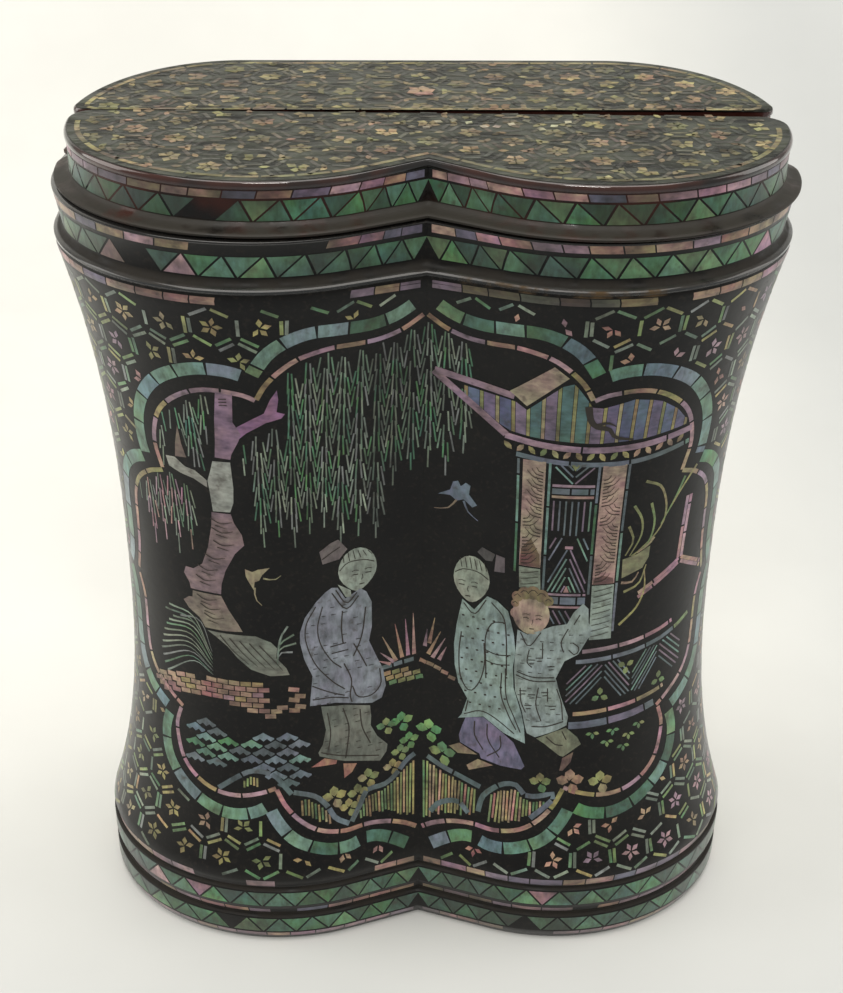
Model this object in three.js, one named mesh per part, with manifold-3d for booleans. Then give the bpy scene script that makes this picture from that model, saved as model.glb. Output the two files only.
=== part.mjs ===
// A tall waisted box of black lacquer on wood, inlaid with shell, in millimetres, +Z up.
// In plan, two round lobes at the front meet in an upright fold, and the back is flat with round corners.
// Two half lids, front and rear, meet along a straight slit and rest on the rim of the hollow body.
// The origin is the middle of the underside, and the lobed front faces -Y.

import * as THREE from 'three';
import { mergeVertices } from 'three/addons/utils/BufferGeometryUtils.js';
import Module from 'manifold-3d';

const wasm = await Module();
wasm.setup();

// Plan of the lids' top face. Every other level keeps this plan, moved outwards by its own offset.
const HALF_WIDTH = 75;
const HALF_DEPTH = 36;
const LOBE_RADIUS_X = 40;
const LOBE_RADIUS_Y = 32.2;
const REAR_CORNER_WIDTH = 35;
const REAR_CORNER_DEPTH = 38.4;

// Slope of the flanks of the fold at the top face, at the seam under the lids, and on the body.
const TOP_FOLD_DEGREES = 31;
const SEAM_FOLD_DEGREES = 25;
const BODY_FOLD_DEGREES = 19.5;

// Heights of the pieces and of the bands on them.
const BODY_HEIGHT = 191.2;
const LID_HEIGHT = 10.7;
const COLLAR_HEIGHT = 12.6;
const FOOT_STEP_HEIGHT = 9;
const EDGE_BAND_HEIGHT = 3;
const SHOULDER_HEIGHT = 1.4;
const LOW_POINT_OF_WAIST = 97;

// Outward offsets from the plan of the top face.
const TOP_RIM_OUT = 0.5;
const LID_NECK_OUT = 0;
const SEAM_OUT = 3.4;
const COLLAR_NECK_OUT = 1.9;
const COLLAR_RIM_OUT = 3.7;
const WAIST_OUT = -4.9;
const FOOT_OUT = 5;
const WAIST_FOOT_OUT = 4.8;
const FOOT_GROOVE_DEPTH = 0.9;
const FOOT_EDGE_LEAN = 1.3;
const SEAM_BAND_LEAN = 0.5;

// How sharply the sides flare towards the collar and towards the foot.
const UPPER_FLARE_POWER = 2.4;
const LOWER_FLARE_POWER = 2.6;

// Mouldings of the lids and the collar.
const TOP_RIM_HEIGHT = 1.7;
const TOP_RIM_ROUND = 0.6;
const LID_COVE_HEIGHT = 1.6;
const COLLAR_COVE_HEIGHT = 1.5;
const RIM_THICKNESS = 1.1;
const EDGE_ROUND = 0.4;
const GROOVE_HEIGHT = 0.6;

// Walls, the lip under each lid, and how the lids lie.
const WALL = 5;
const FLOOR = 5;
const LID_BOARD = 3.5;
const SPLIT_WALL = 3.5;
const LIP_THICKNESS = 2.5;
const LIP_DEPTH = 4.5;
const LIP_PLAY = 0.5;
const SEAT_GAP = 0.3;
const SPLIT_PLAY = 0.4;
const SPLIT_Y = 3.2;
const FRONT_LID_CORNER_ROUND = 5;
const REAR_LID_CORNER_ROUND = 2.5;
const RECESS_CORNER_ROUND = 1.5;
const FRONT_LID_SHIFT = 0.7;
const FRONT_LID_TURN_DEGREES = 1;
const REAR_LID_TILT_DEGREES = 0.2;

// A cutter reaches this far past what it cuts. A flank keeps to this share of the turn that misses its lobe.
const OVERCUT = 5;
const STEEPEST_FOLD = 0.9;

// How finely the round stretches are cut.
const LOBE_STEPS = 16;
const CORNER_STEPS = 8;
const ROUND_STEPS = 3;
const COVE_STEPS = 3;
const WAIST_STEPS = 14;

const LOBE_CENTRE_X = HALF_WIDTH - LOBE_RADIUS_X;
const LOBE_CENTRE_Y = LOBE_RADIUS_Y - HALF_DEPTH;
const REAR_CORNER_X = HALF_WIDTH - REAR_CORNER_WIDTH;
const REAR_CORNER_Y = HALF_DEPTH - REAR_CORNER_DEPTH;
const WAIST_BOTTOM = 2 * FOOT_STEP_HEIGHT + EDGE_BAND_HEIGHT;
const WAIST_TOP = BODY_HEIGHT - COLLAR_HEIGHT;
const SEAM_HEIGHT = BODY_HEIGHT + SEAT_GAP;
const MOUTH_OUT = SEAM_OUT - WALL;

const degrees = THREE.MathUtils.degToRad;

// How far the turned front lid swings at its ends. The slit and the play of the lips leave room for it.
const FRONT_LID_SWING = HALF_WIDTH * Math.sin(degrees(FRONT_LID_TURN_DEGREES));
const SLIT = FRONT_LID_SWING + SPLIT_PLAY;
const LIP_OUT = MOUTH_OUT - FRONT_LID_SHIFT - FRONT_LID_SWING - LIP_PLAY;
const RECESS_OUT = LIP_OUT - LIP_THICKNESS;

// Points of an arc with its two radii, both ends included.
function arc(x, y, radiusX, radiusY, from, to, steps) {
  return Array.from({ length: steps + 1 }, (_, i) => {
    const angle = from + ((to - from) * i) / steps;
    return new THREE.Vector2(x + radiusX * Math.cos(angle), y + radiusY * Math.sin(angle));
  });
}

// Slope of the fold's flanks at a height: constant on the body, steeper up the collar and the lids.
function foldSlope(z) {
  if (z > BODY_HEIGHT) {
    return degrees(THREE.MathUtils.mapLinear(
      z, BODY_HEIGHT, SEAM_HEIGHT + LID_HEIGHT, SEAM_FOLD_DEGREES, TOP_FOLD_DEGREES,
    ));
  }
  const upCollar = Math.max(0, (z - WAIST_TOP) / COLLAR_HEIGHT);
  return degrees(THREE.MathUtils.lerp(BODY_FOLD_DEGREES, SEAM_FOLD_DEGREES, upCollar));
}

// The fold's point, then the right lobe round to its outermost point, or to a line that cuts it off earlier.
// The lobe is an ellipse, and turn is the angle on it, from its foremost point, at which a flank touches it.
function rightLobe(out, slope, endY = LOBE_CENTRE_Y) {
  const radiusX = LOBE_RADIUS_X + out;
  const radiusY = LOBE_RADIUS_Y + out;
  const steepest = STEEPEST_FOLD * Math.asin(Math.min(1, LOBE_CENTRE_X / radiusX));
  const turn = Math.min(steepest, Math.atan((radiusX / radiusY) * Math.tan(slope)));
  const touchX = LOBE_CENTRE_X - radiusX * Math.sin(turn);
  const touchY = LOBE_CENTRE_Y - radiusY * Math.cos(turn);
  const fold = new THREE.Vector2(0, touchY + touchX * (radiusY / radiusX) * Math.tan(turn));
  const to = -Math.asin(Math.max(0, LOBE_CENTRE_Y - endY) / radiusY);
  const lobe = arc(
    LOBE_CENTRE_X, LOBE_CENTRE_Y, radiusX, radiusY, -Math.PI / 2 - turn, to, LOBE_STEPS,
  );
  return [fold, ...lobe];
}

// The rear corner from the straight side, or from a line further back that cuts into it, to the back.
function rightRearCorner(out, startY) {
  const depth = REAR_CORNER_DEPTH + out;
  const from = Math.asin(Math.max(0, startY - REAR_CORNER_Y) / depth);
  return arc(
    REAR_CORNER_X, REAR_CORNER_Y, REAR_CORNER_WIDTH + out, depth, from, Math.PI / 2, CORNER_STEPS,
  );
}

// A half outline becomes a whole one, counter-clockwise from above. Points on the middle line stay single.
function mirrored(right) {
  const left = right.filter((p) => p.x > 0).reverse();
  return [...right, ...left.map((p) => new THREE.Vector2(-p.x, p.y))];
}

function bodyOutline(out, slope) {
  return mirrored([...rightLobe(out, slope), ...rightRearCorner(out, LOBE_CENTRE_Y)]);
}

// The front lid ends at the slit with rounded corners. splitIn moves that edge forwards.
function frontLidOutline(out, slope, splitIn, round) {
  const edgeY = SPLIT_Y - SLIT / 2 - splitIn;
  const cornerY = edgeY - round;
  const lobe = rightLobe(out, slope, cornerY);
  const corner = arc(lobe.at(-1).x - round, cornerY, round, round, 0, Math.PI / 2, ROUND_STEPS);
  const straight = cornerY > LOBE_CENTRE_Y;
  return mirrored([...lobe, ...(straight ? corner : corner.slice(1))]);
}

// The rear lid starts at the slit with rounded corners. splitIn moves that edge backwards.
function rearLidOutline(out, slope, splitIn, round) {
  const edgeY = SPLIT_Y + SLIT / 2 + splitIn;
  const cornerY = edgeY + round;
  const side = rightRearCorner(out, cornerY);
  const corner = arc(side[0].x - round, cornerY, round, round, -Math.PI / 2, 0, ROUND_STEPS);
  const straight = cornerY < REAR_CORNER_Y;
  return mirrored([...(straight ? corner : corner.slice(0, -1)), ...side]);
}

// A closed solid through a stack of outlines, lowest first, with flat ends.
function loft(levels) {
  const count = levels[0].outline.length;
  const positions = levels.flatMap(({ z, outline }) => outline.flatMap((p) => [p.x, p.y, z]));
  const index = [];
  for (let j = 0; j + 1 < levels.length; j++) {
    for (let i = 0; i < count; i++) {
      const a = j * count + i;
      const b = j * count + ((i + 1) % count);
      index.push(a, b, b + count, a, b + count, a + count);
    }
  }
  const top = (levels.length - 1) * count;
  for (const [a, b, c] of THREE.ShapeUtils.triangulateShape(levels[0].outline, [])) {
    index.push(a, c, b);
  }
  for (const [a, b, c] of THREE.ShapeUtils.triangulateShape(levels.at(-1).outline, [])) {
    index.push(top + a, top + b, top + c);
  }
  const geometry = new THREE.BufferGeometry();
  geometry.setAttribute('position', new THREE.Float32BufferAttribute(positions, 3));
  geometry.setIndex(index);
  return geometry;
}

function toSolid(geometry) {
  const merged = mergeVertices(geometry, 1e-5);
  return new wasm.Manifold(new wasm.Mesh({
    numProp: 3,
    vertProperties: new Float32Array(merged.attributes.position.array),
    triVerts: new Uint32Array(merged.index.array),
  }));
}

function toGeometry(solid) {
  const mesh = solid.getMesh();
  const geometry = new THREE.BufferGeometry();
  geometry.setAttribute('position', new THREE.Float32BufferAttribute(Array.from(mesh.vertProperties), 3));
  geometry.setIndex(Array.from(mesh.triVerts));
  return geometry;
}

// A hollow moulding from a rim up to a neck: flat at the rim and upright at the neck.
function cove(rimZ, rimOut, neckZ, neckOut) {
  return arc(rimOut, neckZ, rimOut - neckOut, neckZ - rimZ, -Math.PI / 2, -Math.PI, COVE_STEPS)
    .map((p) => [p.y, p.x]);
}

// Profile of one step of the foot: an edge band that leans in underneath, an upright band and a groove.
function footStep(bottom) {
  const wallTop = bottom + FOOT_STEP_HEIGHT - GROOVE_HEIGHT;
  return [
    [bottom, FOOT_OUT - FOOT_EDGE_LEAN],
    [bottom + EDGE_BAND_HEIGHT, FOOT_OUT],
    [wallTop, FOOT_OUT],
    [wallTop, FOOT_OUT - FOOT_GROOVE_DEPTH],
  ];
}

// The hollow sweep of the sides between the foot and the collar.
function waist() {
  return Array.from({ length: WAIST_STEPS + 1 }, (_, i) => {
    const z = THREE.MathUtils.lerp(WAIST_BOTTOM, WAIST_TOP, i / WAIST_STEPS);
    if (z < LOW_POINT_OF_WAIST) {
      const share = (LOW_POINT_OF_WAIST - z) / (LOW_POINT_OF_WAIST - WAIST_BOTTOM);
      return [z, WAIST_OUT + (WAIST_FOOT_OUT - WAIST_OUT) * share ** LOWER_FLARE_POWER];
    }
    const share = (z - LOW_POINT_OF_WAIST) / (WAIST_TOP - LOW_POINT_OF_WAIST);
    return [z, WAIST_OUT + (COLLAR_RIM_OUT - WAIST_OUT) * share ** UPPER_FLARE_POWER];
  });
}

// The collar: its rim over the waist, a hollow, the band of triangles and the edge band at the seam.
function collar() {
  const rimTop = WAIST_TOP + SHOULDER_HEIGHT + RIM_THICKNESS;
  return [
    [WAIST_TOP + SHOULDER_HEIGHT, COLLAR_RIM_OUT],
    [rimTop - EDGE_ROUND, COLLAR_RIM_OUT],
    ...cove(rimTop, COLLAR_RIM_OUT - EDGE_ROUND, rimTop + COLLAR_COVE_HEIGHT, COLLAR_NECK_OUT),
    [BODY_HEIGHT - EDGE_BAND_HEIGHT, SEAM_OUT - SEAM_BAND_LEAN],
    [BODY_HEIGHT - EDGE_ROUND, SEAM_OUT],
    [BODY_HEIGHT, SEAM_OUT - EDGE_ROUND],
  ];
}

// The side of a lid, from the seam up.
function lidProfile() {
  const top = SEAM_HEIGHT + LID_HEIGHT;
  const coveBottom = SEAM_HEIGHT + RIM_THICKNESS;
  return [
    [SEAM_HEIGHT, SEAM_OUT - EDGE_ROUND],
    [SEAM_HEIGHT + EDGE_ROUND, SEAM_OUT],
    ...cove(coveBottom, SEAM_OUT - EDGE_ROUND, coveBottom + LID_COVE_HEIGHT, LID_NECK_OUT),
    [top - TOP_RIM_HEIGHT, TOP_RIM_OUT],
    ...arc(
      TOP_RIM_OUT - TOP_RIM_ROUND, top - TOP_RIM_ROUND, TOP_RIM_ROUND, TOP_RIM_ROUND,
      0, Math.PI / 2, ROUND_STEPS,
    ).map((p) => [p.y, p.x]),
  ];
}

function makeBody() {
  const outside = [...footStep(0), ...footStep(FOOT_STEP_HEIGHT)];
  outside.push([2 * FOOT_STEP_HEIGHT, FOOT_OUT - FOOT_GROOVE_DEPTH], ...waist(), ...collar());
  const sides = waist();
  const inside = [
    [FLOOR, sides[0][1] - WALL],
    ...sides.map(([z, out]) => [z, Math.min(out - WALL, MOUTH_OUT)]),
    [BODY_HEIGHT, MOUTH_OUT],
    [BODY_HEIGHT + OVERCUT, MOUTH_OUT],
  ];
  const level = ([z, out]) => ({ z, outline: bodyOutline(out, foldSlope(Math.min(z, BODY_HEIGHT))) });
  return toGeometry(toSolid(loft(outside.map(level))).subtract(toSolid(loft(inside.map(level)))));
}

// A half lid: its moulded board, the lip below it, and the recess inside both.
// outlineAt(out, slope, splitIn, round) gives its plan, and cornerRound is that of its corners at the slit.
function makeLid(outlineAt, cornerRound) {
  const level = (z, out, slopeZ, splitIn, round) => ({
    z, outline: outlineAt(out, foldSlope(slopeZ), splitIn, round),
  });
  const board = lidProfile().map(([z, out]) => level(z, out, z, 0, cornerRound));
  const lipBottom = SEAM_HEIGHT - LIP_DEPTH;
  const boardUnderside = SEAM_HEIGHT + LID_HEIGHT - LID_BOARD;
  const lip = [lipBottom, SEAM_HEIGHT + LID_COVE_HEIGHT].map(
    (z) => level(z, LIP_OUT, SEAM_HEIGHT, 0, cornerRound),
  );
  const recess = [lipBottom - OVERCUT, boardUnderside].map(
    (z) => level(z, RECESS_OUT, SEAM_HEIGHT, SPLIT_WALL, RECESS_CORNER_ROUND),
  );
  return toGeometry(
    toSolid(loft(board)).add(toSolid(loft(lip))).subtract(toSolid(loft(recess))),
  );
}

function lacquered(name, geometry) {
  const lacquer = new THREE.MeshStandardMaterial({ color: 0x1c1a17, roughness: 0.3, metalness: 0 });
  const mesh = new THREE.Mesh(geometry, lacquer);
  mesh.name = name;
  return mesh;
}

const box = new THREE.Group();
box.add(lacquered('body', makeBody()));

// The front lid has slid a little to the right and turned, so the slit widens to the right.
const frontLid = lacquered('front_lid', makeLid(frontLidOutline, FRONT_LID_CORNER_ROUND));
frontLid.position.x = FRONT_LID_SHIFT;
frontLid.rotation.z = -degrees(FRONT_LID_TURN_DEGREES);
box.add(frontLid);

// The rear lid sits proud at its right end. It turns about the left end of its underside.
const rearLid = lacquered('rear_lid', makeLid(rearLidOutline, REAR_LID_CORNER_ROUND));
const rearLidSeat = new THREE.Group();
rearLidSeat.position.set(-HALF_WIDTH - SEAM_OUT, 0, SEAM_HEIGHT);
rearLidSeat.rotation.y = -degrees(REAR_LID_TILT_DEGREES);
rearLid.position.copy(rearLidSeat.position).negate();
rearLidSeat.add(rearLid);
box.add(rearLidSeat);

export default box;
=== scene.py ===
import math

import bmesh
import bpy
import numpy as np
from mathutils import Matrix, Vector


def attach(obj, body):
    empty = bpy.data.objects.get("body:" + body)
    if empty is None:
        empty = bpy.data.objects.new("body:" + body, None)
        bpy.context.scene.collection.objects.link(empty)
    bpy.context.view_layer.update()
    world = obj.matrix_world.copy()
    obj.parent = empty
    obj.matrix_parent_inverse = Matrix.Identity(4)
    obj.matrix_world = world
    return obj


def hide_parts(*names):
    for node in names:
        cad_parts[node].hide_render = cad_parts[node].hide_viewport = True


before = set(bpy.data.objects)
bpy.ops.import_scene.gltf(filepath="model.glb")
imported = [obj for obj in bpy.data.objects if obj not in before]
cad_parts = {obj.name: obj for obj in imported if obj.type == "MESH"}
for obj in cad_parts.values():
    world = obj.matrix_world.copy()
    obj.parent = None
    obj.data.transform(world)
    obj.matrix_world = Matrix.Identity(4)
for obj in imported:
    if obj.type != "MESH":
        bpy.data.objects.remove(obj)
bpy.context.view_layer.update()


# The view: the camera stands a little left of the middle and looks down on the box.
# Lengths in this file are in millimetres and are turned into metres where an object is made.
MM = 0.001
EYE = Vector((-7.64, -343.8, 327.95)) * MM
YAW, PITCH, ROLL = 0.023, 0.570, 0.013
LENS = 61.7

ahead = Vector((math.sin(YAW) * math.cos(PITCH), math.cos(YAW) * math.cos(PITCH), -math.sin(PITCH)))
level = Vector((math.cos(YAW), -math.sin(YAW), 0))
right = level * math.cos(ROLL) + level.cross(ahead) * math.sin(ROLL)
camera = bpy.data.objects.new("camera", bpy.data.cameras.new("camera"))
camera.matrix_world = (
    Matrix.Translation(EYE) @ Matrix((right, right.cross(ahead), -ahead)).transposed().to_4x4()
)
camera.data.lens = LENS
bpy.context.scene.collection.objects.link(camera)
bpy.context.scene.camera = camera
bpy.context.scene.view_settings.view_transform = "Standard"


# The body: a hollow box of thin wood under many coats of black lacquer, polished to a deep gloss.
# In plan two round lobes meet in a fold at the front, and the back is flat with round corners.
# Its wall draws in at the waist, and stands on a foot of two steps.
HALF_WIDTH, HALF_DEPTH = 75, 36
LOBE_RADIUS_X, LOBE_RADIUS_Y = 40, 32.2
CORNER_WIDTH, CORNER_DEPTH = 35, 38.4
BODY_FOLD, SEAM_FOLD, TOP_FOLD = (math.radians(a) for a in (19.5, 25, 31))
STEEPEST_FOLD = 0.9
BODY_HEIGHT = 191.2
FOOT_STEP = 9
WAIST_BOTTOM, WAIST_TOP = 21, 178.6
LOW_POINT_OF_WAIST = 97
WAIST_OUT, WAIST_FOOT_OUT, COLLAR_OUT = -4.9, 4.8, 3.7
LOWER_FLARE, UPPER_FLARE = 2.6, 2.4
WALL, FLOOR, MOUTH_OUT = 5, 5, -1.6
SEAM_HEIGHT, TOP_HEIGHT = 191.5, 202.2
SHARP = math.radians(32)

LOBE_X, LOBE_Y = HALF_WIDTH - LOBE_RADIUS_X, LOBE_RADIUS_Y - HALF_DEPTH
CORNER_X, CORNER_Y = HALF_WIDTH - CORNER_WIDTH, HALF_DEPTH - CORNER_DEPTH


def fold_slope(z):
    """Slope of the fold's flanks: constant on the body, steeper up the collar and the lids."""
    return np.interp(z, (WAIST_TOP, BODY_HEIGHT, TOP_HEIGHT), (BODY_FOLD, SEAM_FOLD, TOP_FOLD))


def front_half(u, out, z):
    """Plan of the right half's front: u 0 to 1 is the flank of the fold, and 1 to 2 is the lobe."""
    wide, deep = LOBE_RADIUS_X + out, LOBE_RADIUS_Y + out
    steepest = STEEPEST_FOLD * np.arcsin(np.minimum(1, LOBE_X / wide))
    turn = np.minimum(steepest, np.arctan(wide / deep * np.tan(fold_slope(z))))
    touch_x, touch_y = LOBE_X - wide * np.sin(turn), LOBE_Y - deep * np.cos(turn)
    fold_y = touch_y + touch_x * deep / wide * np.tan(turn)
    angle = -math.pi / 2 - turn + (np.clip(u, 1, 2) - 1) * (math.pi / 2 + turn)
    x = np.where(u < 1, touch_x * u, LOBE_X + wide * np.cos(angle))
    y = np.where(u < 1, fold_y + (touch_y - fold_y) * u, LOBE_Y + deep * np.sin(angle))
    return x, y


def rear_corner(share, out, start=0.0):
    """Plan of the right rear corner, from a start angle to the flat back."""
    angle = start + np.clip(share, 0, 1) * (math.pi / 2 - start)
    return CORNER_X + (CORNER_WIDTH + out) * np.cos(angle), CORNER_Y + (CORNER_DEPTH + out) * np.sin(angle)


def body_plan(u, out, z):
    """Plan of the body's right half: front to u 2, rear corner to 3, back to its middle at 4."""
    x, y = front_half(u, out, z)
    corner_x, corner_y = rear_corner(u - 2, out)
    x = np.where(u < 2, x, np.where(u < 3, corner_x, CORNER_X * (4 - u)))
    return x, np.where(u < 2, y, np.where(u < 3, corner_y, HALF_DEPTH + out))


class Wall:
    """A wall measured along its plan from the fold, s in mm to the right, and upwards, z in mm."""

    def __init__(self, plan, profile, lie=Matrix.Identity(4)):
        self.plan, self.lie = plan, np.array(lie)
        self.heights, self.outs = np.array(profile, float).T
        self.shares = np.linspace(0, 4, 4001)
        flush = np.zeros_like(self.shares)
        x, y = plan(self.shares, flush, flush)
        self.lengths = np.append(0, np.cumsum(np.hypot(np.diff(x), np.diff(y))))
        self.reach = self.lengths[-1]

    def out(self, z):
        """How far the wall stands out of its plan at a height."""
        return np.interp(z, self.heights, self.outs)

    def place(self, s, z, out):
        """Points of the wall. It closes on itself, so s may run past the middle of the back."""
        s, z, out = np.broadcast_arrays(np.asarray(s, float), z, out)
        s = (s + self.reach) % (2 * self.reach) - self.reach
        x, y = self.plan(np.interp(np.abs(s), self.lengths, self.shares), out, z)
        points = np.stack((np.copysign(1, s) * x, y, z, np.ones_like(x)), axis=-1)
        return (points @ self.lie.T)[..., :3]

    def wrap(self, flat, lift):
        """Points of a flat drawing, (s, z), laid on the wall and lifted off it."""
        return self.place(flat[:, 0], flat[:, 1], self.out(flat[:, 1]) + lift)

    def loft(self, name, profile, step=1.25):
        """A closed mesh through a path of (z, out)."""
        half = int(self.reach / step)
        s = np.linspace(-self.reach, self.reach, 2 * half + 1)[:-1]
        return closed_mesh(name, [self.place(s, z, out) for z, out in profile])


def show(name, mesh):
    piece = bpy.data.objects.new(name, mesh)
    bpy.context.scene.collection.objects.link(piece)
    return piece


def closed_mesh(name, rings):
    """A closed mesh through rings of points, with flat ends, smooth but at its sharp edges."""
    count, rows = len(rings[0]), len(rings)
    faces = [
        (j * count + i, j * count + (i + 1) % count, (j + 1) * count + (i + 1) % count, (j + 1) * count + i)
        for j in range(rows - 1) for i in range(count)
    ]
    faces += [range(count - 1, -1, -1), range((rows - 1) * count, rows * count)]
    mesh = bpy.data.meshes.new(name)
    mesh.from_pydata(np.concatenate(rings) * MM, [], faces)
    mesh.shade_smooth()
    mesh.set_sharp_from_angle(angle=SHARP)
    return show(name, mesh)


def foot_step(bottom):
    """A step's edge band leans in underneath, and a groove parts it from what stands on it."""
    path = ((0, 3.5), (0.3, 3.9), (3, 4.95), (3.3, 5), (8, 5), (8.3, 4.75), (8.5, 4.15), (9, 4.0))
    return [(bottom + z, out) for z, out in path]


def waist(z):
    low = np.clip((LOW_POINT_OF_WAIST - z) / (LOW_POINT_OF_WAIST - WAIST_BOTTOM), 0, 1)
    high = np.clip((z - LOW_POINT_OF_WAIST) / (WAIST_TOP - LOW_POINT_OF_WAIST), 0, 1)
    return (
        WAIST_OUT + (WAIST_FOOT_OUT - WAIST_OUT) * low ** LOWER_FLARE
        + (COLLAR_OUT - WAIST_OUT) * high ** UPPER_FLARE
    )


collar = [
    (179.5, 3.7), (179.85, 3.6), (180.0, 3.75), (180.3, 3.95), (180.75, 3.95), (181.05, 3.65),
    (181.2, 3.1), (181.45, 2.6), (181.9, 2.15), (182.5, 1.95), (188.3, 2.9), (188.5, 3.0),
    (190.6, 3.35), (190.8, 3.5), (191.05, 3.45), (191.2, 3.2),
]
outside = foot_step(0) + foot_step(FOOT_STEP)[1:] + [(18.3, 4.2)]
outside += [(z, float(waist(z))) for z in np.linspace(WAIST_BOTTOM, WAIST_TOP, 64)] + collar
inside = [(BODY_HEIGHT, MOUTH_OUT)] + [
    (z, min(float(waist(z)) - WALL, MOUTH_OUT)) for z in np.linspace(WAIST_TOP, FLOOR, 24)
]
body_wall = Wall(body_plan, outside)
body = body_wall.loft("lacquer_body", outside + inside)


class Wire:
    """A socket of a node tree. Arithmetic on wires adds Math nodes."""

    def __init__(self, tree, socket):
        self.tree, self.socket = tree, socket

    def add(self, kind, settings=None, sockets=None, output=0):
        return add_node(self.tree, kind, settings, sockets, output)

    def maths(self, operation, *values):
        return self.add("ShaderNodeMath", {"operation": operation}, dict(enumerate(values)))

    def __add__(self, other):
        return self.maths("ADD", self, other)

    def __sub__(self, other):
        return self.maths("SUBTRACT", self, other)

    def __rsub__(self, other):
        return self.maths("SUBTRACT", other, self)

    def __mul__(self, other):
        return self.maths("MULTIPLY", self, other)

    def __truediv__(self, other):
        return self.maths("DIVIDE", self, other)

    def ramp(self, low, high):
        """0 at low and 1 at high, smooth between them and held outside them."""
        return self.add(
            "ShaderNodeMapRange", {"interpolation_type": "SMOOTHSTEP"},
            {"Value": self, "From Min": low, "From Max": high},
        )

    def between(self, low, high, soft):
        return self.ramp(low - soft, low) * (1 - self.ramp(high, high + soft))

    def either(self, other):
        """The larger of two masks."""
        return self.maths("MAXIMUM", self, other)

    __radd__, __rmul__ = __add__, __mul__


def add_node(tree, kind, settings=None, sockets=None, output=0):
    """Adds one node: its settings first, then the values or wires of its sockets."""
    node = tree.nodes.new(kind)
    for name, value in (settings or {}).items():
        setattr(node, name, value)
    by_identifier = {socket.identifier: socket for socket in node.inputs}
    for key, value in (sockets or {}).items():
        socket = by_identifier[key] if key in by_identifier else node.inputs[key]
        if isinstance(value, Wire):
            tree.links.new(value.socket, socket)
        else:
            socket.default_value = value
    if isinstance(output, str):
        names = [(socket.identifier, socket.name) for socket in node.outputs]
        output = next(i for i, pair in enumerate(names) if output in pair)
    return Wire(tree, node.outputs[output])


def paint(code, alpha=1.0):
    """A colour as it looks on a screen, "rrggbb", as the linear values that materials use."""
    parts = (int(code[i:i + 2], 16) / 255 for i in (0, 2, 4))
    return (*(p / 12.92 if p <= 0.04045 else ((p + 0.055) / 1.055) ** 2.4 for p in parts), alpha)


def mix(share, first, second):
    """Two colours mixed: the first where share is 0, and the second where it is 1."""
    wire = next(v for v in (share, first, second) if isinstance(v, Wire))
    return wire.add(
        "ShaderNodeMix", {"data_type": "RGBA"},
        {"Factor_Float": share, "A_Color": first, "B_Color": second}, "Result_Color",
    )


def new_material(name, **constants):
    """A material with one shader, and its tree."""
    material = bpy.data.materials.new(name)
    material.use_nodes = True
    shader = material.node_tree.nodes["Principled BSDF"]
    for socket, value in constants.items():
        shader.inputs[socket.replace("_", " ")].default_value = value
    return material, material.node_tree, shader


def drive(shader, **wires):
    for socket, wire in wires.items():
        wire.tree.links.new(wire.socket, shader.inputs[socket.replace("_", " ")])


def noise(tree, scale, detail=3, roughness=0.55, vector=None, stretch=None):
    """Noise over the object in metres. Stretch makes it longer along an axis."""
    vector = vector or add_node(tree, "ShaderNodeTexCoord", output="Object")
    if stretch:
        vector = vector.add(
            "ShaderNodeVectorMath", {"operation": "MULTIPLY"}, {0: vector, 1: stretch}, "Vector",
        )
    return vector.add(
        "ShaderNodeTexNoise", None,
        {"Vector": vector, "Scale": scale, "Detail": detail, "Roughness": roughness}, "Fac",
    )


def bumped(tree, height, distance, strength=1.0):
    return add_node(
        tree, "ShaderNodeBump", None,
        {"Height": height, "Distance": distance, "Strength": strength}, "Normal",
    )


def object_axes(tree):
    """Object coordinates in millimetres, as x, y and z."""
    vector = add_node(tree, "ShaderNodeTexCoord", output="Object")
    split = [vector.add("ShaderNodeSeparateXYZ", None, {0: vector}, axis) for axis in "XYZ"]
    return [axis / MM for axis in split]


# Black lacquer: deep and glossy on the wall, dull with dust in the hollows and grooves.
# Raw brown ground shows where the edge of the collar is chipped.
STEP_GROOVE, FOOT_GROOVE, COLLAR_GROOVE = (8.3, 9.3), (17.4, 18.2), (181.0, 182.4)
COLLAR_RIM, MOUTH_RIM = (180.0, 181.1), (190.6, 191.4)
CHIPPED_HEIGHTS, CHIPPED_ACROSS = (179.6, 180.9), (9, 46)

lacquer, tree, shader = new_material(
    "black_lacquer", IOR=1.33, Specular_IOR_Level=0.35, Sheen_Weight=0.3, Sheen_Roughness=0.35,
    Coat_Roughness=0.06,
)
x, y, z = object_axes(tree)
grooves = z.between(*COLLAR_GROOVE, 0.5).either(z.between(*STEP_GROOVE, 0.3)).either(z.between(*FOOT_GROOVE, 0.4))
dust = grooves * noise(tree, 160).ramp(0.25, 0.6)
specks = noise(tree, 900, 4).ramp(0.52, 0.72)
raw = (
    z.between(*CHIPPED_HEIGHTS, 0.25) * x.between(*CHIPPED_ACROSS, 3) * (1 - y.ramp(0, 5))
    * noise(tree, 130, 4).ramp(0.46, 0.6)
)
colour = mix(noise(tree, 70).ramp(0.3, 0.75), paint("0b0a0a"), paint("141311"))
colour = mix(specks * 0.25, colour, paint("3a332b"))
colour = mix(dust, colour, paint("26231f"))
colour = mix(raw * 0.85, colour, paint("574630"))
rims = z.between(*COLLAR_RIM, 0.2).either(z.between(*MOUTH_RIM, 0.2))
rough = 0.26 - rims * 0.16 + noise(tree, 300, 4) * 0.14 + specks * 0.15 + dust * 0.45 + raw * 0.5
height = noise(tree, 120) * 0.5 + noise(tree, 700, 4) * 0.06 + dust * 0.1 - raw * 0.6
drive(
    shader, Base_Color=colour, Roughness=rough, Coat_Weight=rims * (1 - raw),
    Normal=bumped(tree, height, 0.00025, 0.6),
)
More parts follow.
